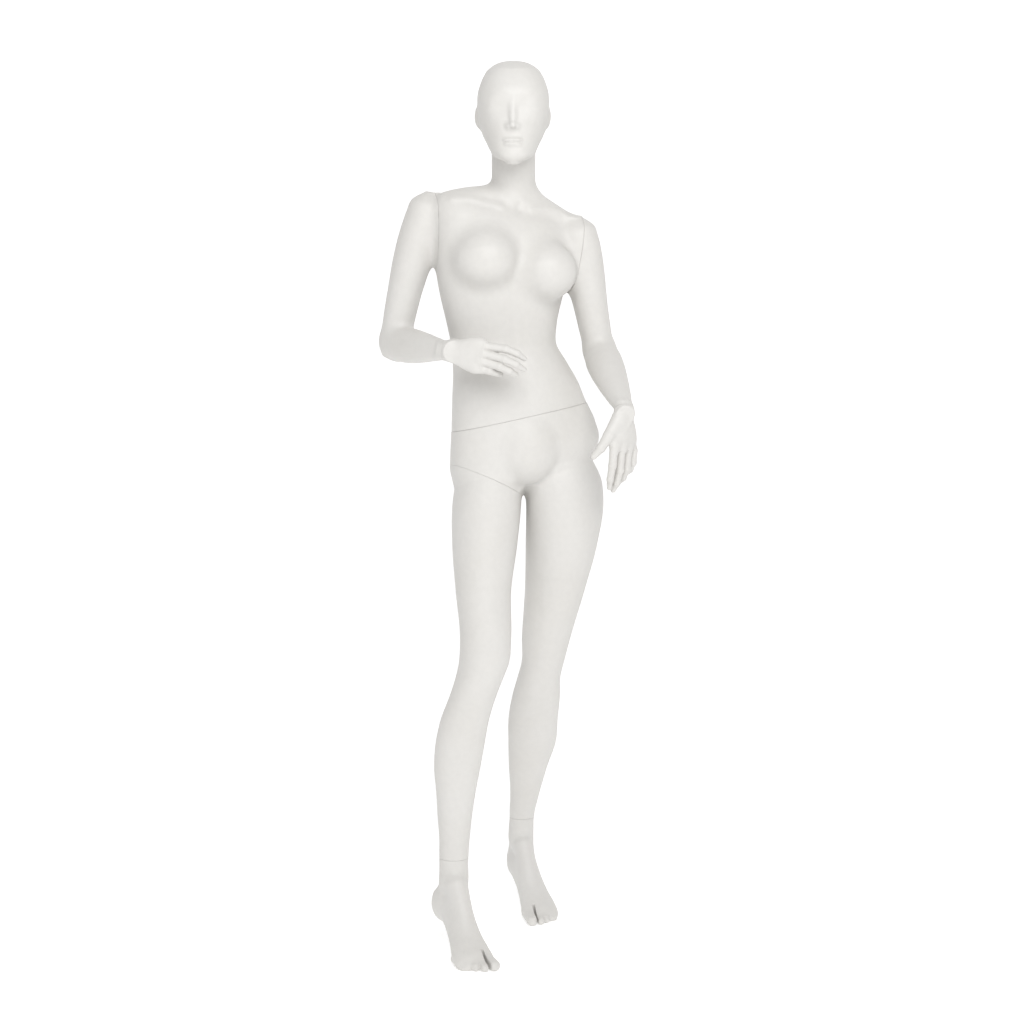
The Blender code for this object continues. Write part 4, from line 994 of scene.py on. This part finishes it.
def face_area(p):
    """Which points are on the face."""
    low, high = FACE_HEIGHTS
    return (p[:, 2] > low) & (p[:, 2] < high) & (p[:, 1] < FACE_DEPTH)


def build_trunk(scale):
    field = clipped(upper_body, (WAIST, -1))
    mesh = surface("upper_skin", field, UPPER_BOX, BODY_STEP * scale)
    refine(mesh, upper_body, face_area, 2)
    cutters = [
        block("below_waist", WAIST, -1, reach=0.5),
        block("right_of_shoulder", RIGHT_SHOULDER, 1, reach=0.1),
        block("left_of_shoulder", LEFT_SHOULDER, 1, reach=0.1),
        stud_seat("waist_stud_seat", WAIST, WAIST_SIZE),
        bush_seat("right_shoulder_bush_seat", RIGHT_SHOULDER, SHOULDER_SIZE),
        bush_seat("left_shoulder_bush_seat", LEFT_SHOULDER, SHOULDER_SIZE),
    ]
    lips = (WAIST, RIGHT_SHOULDER, LEFT_SHOULDER)
    finish_piece("upper_body_moulding", mesh, upper_body, cutters, lips, "upper_body", "upper_body_shell")


def hips_and_left_leg(p):
    """The lower body without what hangs below the groin seam on its right."""
    right_leg = -np.maximum(plane(p, GROIN) + BEYOND, plane(p, CROTCH) + BEYOND)
    limits = (right_leg, plane(p, WAIST) - BEYOND, -BEYOND - plane(p, LEFT_ANKLE))
    return np.maximum.reduce([lower_body(p), *limits])


def build_lower(scale):
    mesh = surface("lower_skin", hips_and_left_leg, LOWER_BOX, BODY_STEP * scale)
    wedge = block("right_leg_wedge", GROIN, -1, reach=0.6)
    beside = block("left_of_crotch", CROTCH, 1, reach=0.9, past=-GAP / 2)
    cut(wedge, beside)
    cutters = [
        block("above_waist", WAIST, 1, reach=0.4),
        wedge,
        block("left_foot_block", LEFT_ANKLE, -1, reach=0.25),
        bush_seat("waist_bush_seat", WAIST, WAIST_SIZE),
        bush_seat("groin_bush_seat", down(GROIN), GROIN_SIZE),
        bush_seat("left_ankle_bush_seat", down(LEFT_ANKLE), ANKLE_SIZE),
    ]
    lips = (WAIST, GROIN, LEFT_ANKLE)
    finish_piece("lower_body_moulding", mesh, lower_body, cutters, lips, "lower_body", "lower_body_shell")
    bpy.data.objects.remove(beside, do_unlink=True)


def build_right_leg(scale):
    field = clipped(lower_body, (GROIN, 1), (CROTCH, 1), (RIGHT_ANKLE, -1))
    mesh = surface("right_leg_skin", field, RIGHT_LEG_BOX, BODY_STEP * scale)
    cutters = [
        block("above_groin", GROIN, 1, reach=0.4),
        block("beyond_crotch", CROTCH, 1, reach=0.9),
        block("right_foot_block", RIGHT_ANKLE, -1, reach=0.25),
        stud_seat("groin_stud_seat", down(GROIN), GROIN_SIZE),
        bush_seat("right_ankle_bush_seat", down(RIGHT_ANKLE), ANKLE_SIZE),
    ]
    lips = (GROIN, RIGHT_ANKLE)
    finish_piece("right_leg_moulding", mesh, lower_body, cutters, lips, "right_leg", "right_leg_shell")


def build_arm(side, joints, shoulder, wrist, box, scale):
    def field(p):
        return whole_arm(p, joints)

    def bounded(p):
        chest = -np.maximum(plane(p, shoulder) + BEYOND, ball(p, joints["shoulder"], 0.15))
        return np.maximum(field(p), chest)

    mesh = surface(side + "_arm_skin", clipped(bounded, (wrist, 1)), box, LIMB_STEP * scale)
    cutters = [
        block(side + "_chest_block", shoulder, -1, reach=0.14),
        block(side + "_hand_block", wrist, 1, reach=0.2),
        stud_seat(side + "_shoulder_stud_seat", shoulder, SHOULDER_SIZE),
        bush_seat(side + "_wrist_bush_seat", wrist, WRIST_SIZE),
    ]
    lips = (shoulder, wrist)
    finish_piece(side + "_arm_moulding", mesh, field, cutters, lips, side + "_arm", side + "_arm_shell")


def build_hand(side, joints, wrist, box, scale):
    def field(p):
        return hand(p, joints)

    mesh = surface(side + "_hand_skin", clipped(field, (wrist, -1)), box, HAND_STEP * scale)
    cutters = [
        block(side + "_forearm_block", wrist, -1, reach=0.2),
        stud_seat(side + "_wrist_stud_seat", wrist, WRIST_SIZE),
    ]
    finish_piece(side + "_hand_moulding", mesh, field, cutters, (wrist,), side + "_hand", side + "_hand")


def build_foot(side, placing, rows, ankle, box, scale):
    def field(p):
        return standing_leg(p, rows, placing)

    mesh = surface(side + "_foot_skin", clipped(field, (ankle, 1)), box, FOOT_STEP * scale)
    floor = (Vector((ankle[0].x, ankle[0].y, SOLE_TRIM)), Vector((0, 0, 1)))
    cutters = [
        block(side + "_shin_block", ankle, 1, reach=0.2),
        block(side + "_floor_block", floor, -1, reach=0.3),
        stud_seat(side + "_ankle_stud_seat", down(ankle), ANKLE_SIZE),
    ]
    finish_piece(side + "_foot_moulding", mesh, field, cutters, (ankle,), side + "_foot", side + "_foot")


# --- Looks


def node(tree, kind, settings=None, links=None):
    """One shader node with its settings and what feeds each of its sockets."""
    made = tree.nodes.new(kind)
    for key, value in (settings or {}).items():
        if hasattr(made, key):
            setattr(made, key, value)
        else:
            made.inputs[key].default_value = value
    for key, source in (links or {}).items():
        tree.links.new(source, made.inputs[key])
    return made


def blank(name):
    made = bpy.data.materials.new(name)
    made.use_nodes = True
    tree = made.node_tree
    return made, tree, tree.nodes["Principled BSDF"]


def noise(tree, place, scale, detail, roughness):
    settings = {"Scale": scale, "Detail": detail, "Roughness": roughness}
    return node(tree, "ShaderNodeTexNoise", settings, {"Vector": place})


def spread(tree, value, source, target):
    """A value carried from one range of numbers to another."""
    settings = {"From Min": source[0], "From Max": source[1], "To Min": target[0], "To Max": target[1]}
    return node(tree, "ShaderNodeMapRange", settings, {"Value": value})


def mixed(tree, share, first, second):
    """A colour between two others."""
    made = node(tree, "ShaderNodeMix", {"data_type": "RGBA"}, {"Factor": share})
    made.inputs[MIX_FIRST].default_value = first
    made.inputs[MIX_SECOND].default_value = second
    return made.outputs[MIX_RESULT]


def plastic():
    """Matte off-white plastic: soft patches of tone, slightly uneven sheen, a fine grain, faint waves and
    painted shade darkening its creases.
    """
    made, tree, shader = blank("matte_moulded_plastic")
    place = node(tree, "ShaderNodeTexCoord").outputs["Object"]
    patches = noise(tree, place, 6.0, 4.0, 0.55)
    mottle = noise(tree, place, 85.0, 3.0, 0.6)
    grain = noise(tree, place, 1100.0, 2.0, 0.6)
    waves = noise(tree, place, 28.0, 2.0, 0.5)
    tone = spread(tree, patches.outputs["Fac"], (0.3, 0.7), (0.0, 1.0))
    colour = mixed(tree, tone.outputs["Result"], PLASTIC_DARK, PLASTIC_LIGHT)
    speck = spread(tree, mottle.outputs["Fac"], (0.35, 0.65), (0.975, 1.0))
    # Painted shade: the colour is darkened, down to 0.86, in creases, seams and hollows where shade would fall
    crease = node(tree, "ShaderNodeNewGeometry").outputs["Pointiness"]
    painted_crease_shade = spread(tree, crease, (0.4, 0.5), (0.86, 1.0))
    shade = node(tree, "ShaderNodeMath", {"operation": "MULTIPLY"})
    tree.links.new(speck.outputs["Result"], shade.inputs[0])
    tree.links.new(painted_crease_shade.outputs["Result"], shade.inputs[1])
    tinted = node(tree, "ShaderNodeVectorMath", {"operation": "SCALE"}, {"Scale": shade.outputs["Value"]})
    tree.links.new(colour, tinted.inputs[0])
    tree.links.new(tinted.outputs["Vector"], shader.inputs["Base Color"])
    gloss = spread(tree, mottle.outputs["Fac"], (0.3, 0.7), (0.43, 0.55))
    tree.links.new(gloss.outputs["Result"], shader.inputs["Roughness"])
    fine = node(
        tree,
        "ShaderNodeBump",
        {"Strength": 0.1, "Distance": 0.0003},
        {"Height": grain.outputs["Fac"]},
    )
    bumped = node(
        tree,
        "ShaderNodeBump",
        {"Strength": 0.22, "Distance": 0.0007},
        {"Height": waves.outputs["Fac"], "Normal": fine.outputs["Normal"]},
    )
    tree.links.new(bumped.outputs["Normal"], shader.inputs["Normal"])
    shader.inputs["Specular IOR Level"].default_value = 0.42
    return made


def steel(name, seam):
    """Turned steel: fine rings round the fitting's own axis."""
    made, tree, shader = blank(name)
    place = node(tree, "ShaderNodeTexCoord").outputs["Object"]
    facing = along((seam[0] + SHIFT, seam[1])).inverted()
    local = node(
        tree,
        "ShaderNodeMapping",
        {"Rotation": facing.to_euler(), "Location": facing.translation},
        {"Vector": place},
    ).outputs["Vector"]
    rings = node(
        tree,
        "ShaderNodeTexWave",
        {"wave_type": "RINGS", "rings_direction": "Z", "Scale": 420.0, "Distortion": 0.6, "Detail": 2.0},
        {"Vector": local},
    )
    smudge = node(tree, "ShaderNodeTexNoise", {"Scale": 120.0, "Detail": 4.0}, {"Vector": local})
    tone = mixed(tree, smudge.outputs["Fac"], STEEL_DARK, STEEL_LIGHT)
    tree.links.new(tone, shader.inputs["Base Color"])
    gloss = spread(tree, rings.outputs["Fac"], (0.0, 1.0), (0.26, 0.42))
    tree.links.new(gloss.outputs["Result"], shader.inputs["Roughness"])
    bump = node(
        tree,
        "ShaderNodeBump",
        {"Strength": 0.25, "Distance": 0.0001},
        {"Height": rings.outputs["Fac"]},
    )
    tree.links.new(bump.outputs["Normal"], shader.inputs["Normal"])
    shader.inputs["Metallic"].default_value = 1.0
    return made


def paper():
    """A plain pale sweep with a faint uneven tone."""
    made, tree, shader = blank("studio_sweep")
    place = node(tree, "ShaderNodeTexCoord").outputs["Object"]
    cloud = node(tree, "ShaderNodeTexNoise", {"Scale": 0.7, "Detail": 3.0}, {"Vector": place})
    tone = mixed(tree, cloud.outputs["Fac"], SWEEP_DARK, SWEEP_LIGHT)
    tree.links.new(tone, shader.inputs["Base Color"])
    shader.inputs["Roughness"].default_value = 0.9
    shader.inputs["Specular IOR Level"].default_value = 0.1
    shader.inputs["Emission Color"].default_value = (1, 1, 1, 1)
    shader.inputs["Emission Strength"].default_value = SWEEP_GLOW
    return made


def build_sweep():
    """A floor that curves up into a backdrop behind the mannequin."""
    profile = [(-9.0, 0.0), (SWEEP_START, 0.0)]
    for turn in np.linspace(0.1, math.pi / 2, 16):
        profile.append((SWEEP_START + SWEEP_RADIUS * math.sin(turn), SWEEP_RADIUS * (1 - math.cos(turn))))
    profile.append((SWEEP_START + SWEEP_RADIUS, 9.0))
    half = 12.0
    corners = [(x, y, z) for y, z in profile for x in (-half, half)]
    faces = [(2 * i, 2 * i + 1, 2 * i + 3, 2 * i + 2) for i in range(len(profile) - 1)]
    mesh = bpy.data.meshes.new("studio_sweep")
    mesh.from_pydata(corners, [], faces)
    mesh.shade_smooth()
    mesh.materials.append(paper())
    link("studio_sweep", mesh)


def add_area(name, place, aim, size, power):
    lamp = bpy.data.lights.new(name, "AREA")
    lamp.shape = "DISK"
    lamp.size = size
    lamp.energy = power
    obj = link(name, lamp)
    obj.location = place
    obj.rotation_mode = "QUATERNION"
    obj.rotation_quaternion = (aim - place).to_track_quat("-Z", "Y")


def light_and_camera():
    world = bpy.data.worlds.new("soft_fill")
    bpy.context.scene.world = world
    world.use_nodes = True
    back = world.node_tree.nodes["Background"]
    back.inputs[0].default_value = (1.0, 0.995, 0.985, 1)
    back.inputs[1].default_value = WORLD_FILL
    centre = Vector((0, 0, 1.1)) + SHIFT
    add_area("key", centre + Vector(KEY_PLACE), centre, KEY_SIZE, KEY_POWER)
    camera = bpy.data.cameras.new("front_camera")
    camera.lens = CAMERA_LENS
    camera.sensor_width = 36.0
    obj = link("front_camera", camera)
    obj.location = Vector(CAMERA_PLACE) + SHIFT
    obj.rotation_euler = (CAMERA_TILT, 0.0, 0.0)
    bpy.context.scene.camera = obj
    bpy.context.scene.view_settings.view_transform = "Standard"


def main():
    scale = 1.0
    build_trunk(scale)
    build_lower(scale)
    build_right_leg(scale)
    build_arm("right", RIGHT_ARM, RIGHT_SHOULDER, RIGHT_WRIST, RIGHT_ARM_BOX, scale)
    build_arm("left", LEFT_ARM, LEFT_SHOULDER, LEFT_WRIST, LEFT_ARM_BOX, scale)
    build_hand("right", RIGHT_ARM, RIGHT_WRIST, RIGHT_HAND_BOX, scale)
    build_hand("left", LEFT_ARM, LEFT_WRIST, LEFT_HAND_BOX, scale)
    build_foot("right", RIGHT_FOOT, RIGHT_LEG, RIGHT_ANKLE, RIGHT_FOOT_BOX, scale)
    build_foot("left", LEFT_FOOT, LEFT_LEG, LEFT_ANKLE, LEFT_FOOT_BOX, scale)
    fittings = {
        "waist": WAIST,
        "right_shoulder": RIGHT_SHOULDER,
        "left_shoulder": LEFT_SHOULDER,
        "right_wrist": RIGHT_WRIST,
        "left_wrist": LEFT_WRIST,
        "groin": GROIN,
        "right_ankle": RIGHT_ANKLE,
        "left_ankle": LEFT_ANKLE,
    }
    for place, seam in fittings.items():
        look = steel(place + "_turned_steel", seam)
        for name, obj in frame["nodes"].items():
            if name.startswith(place) and ("bush" in name or "stud" in name or "screw" in name):
                obj.data.materials.clear()
                obj.data.materials.append(look)
    build_sweep()
    light_and_camera()


PLASTIC = plastic()
main()
bpy.context.view_layer.update()
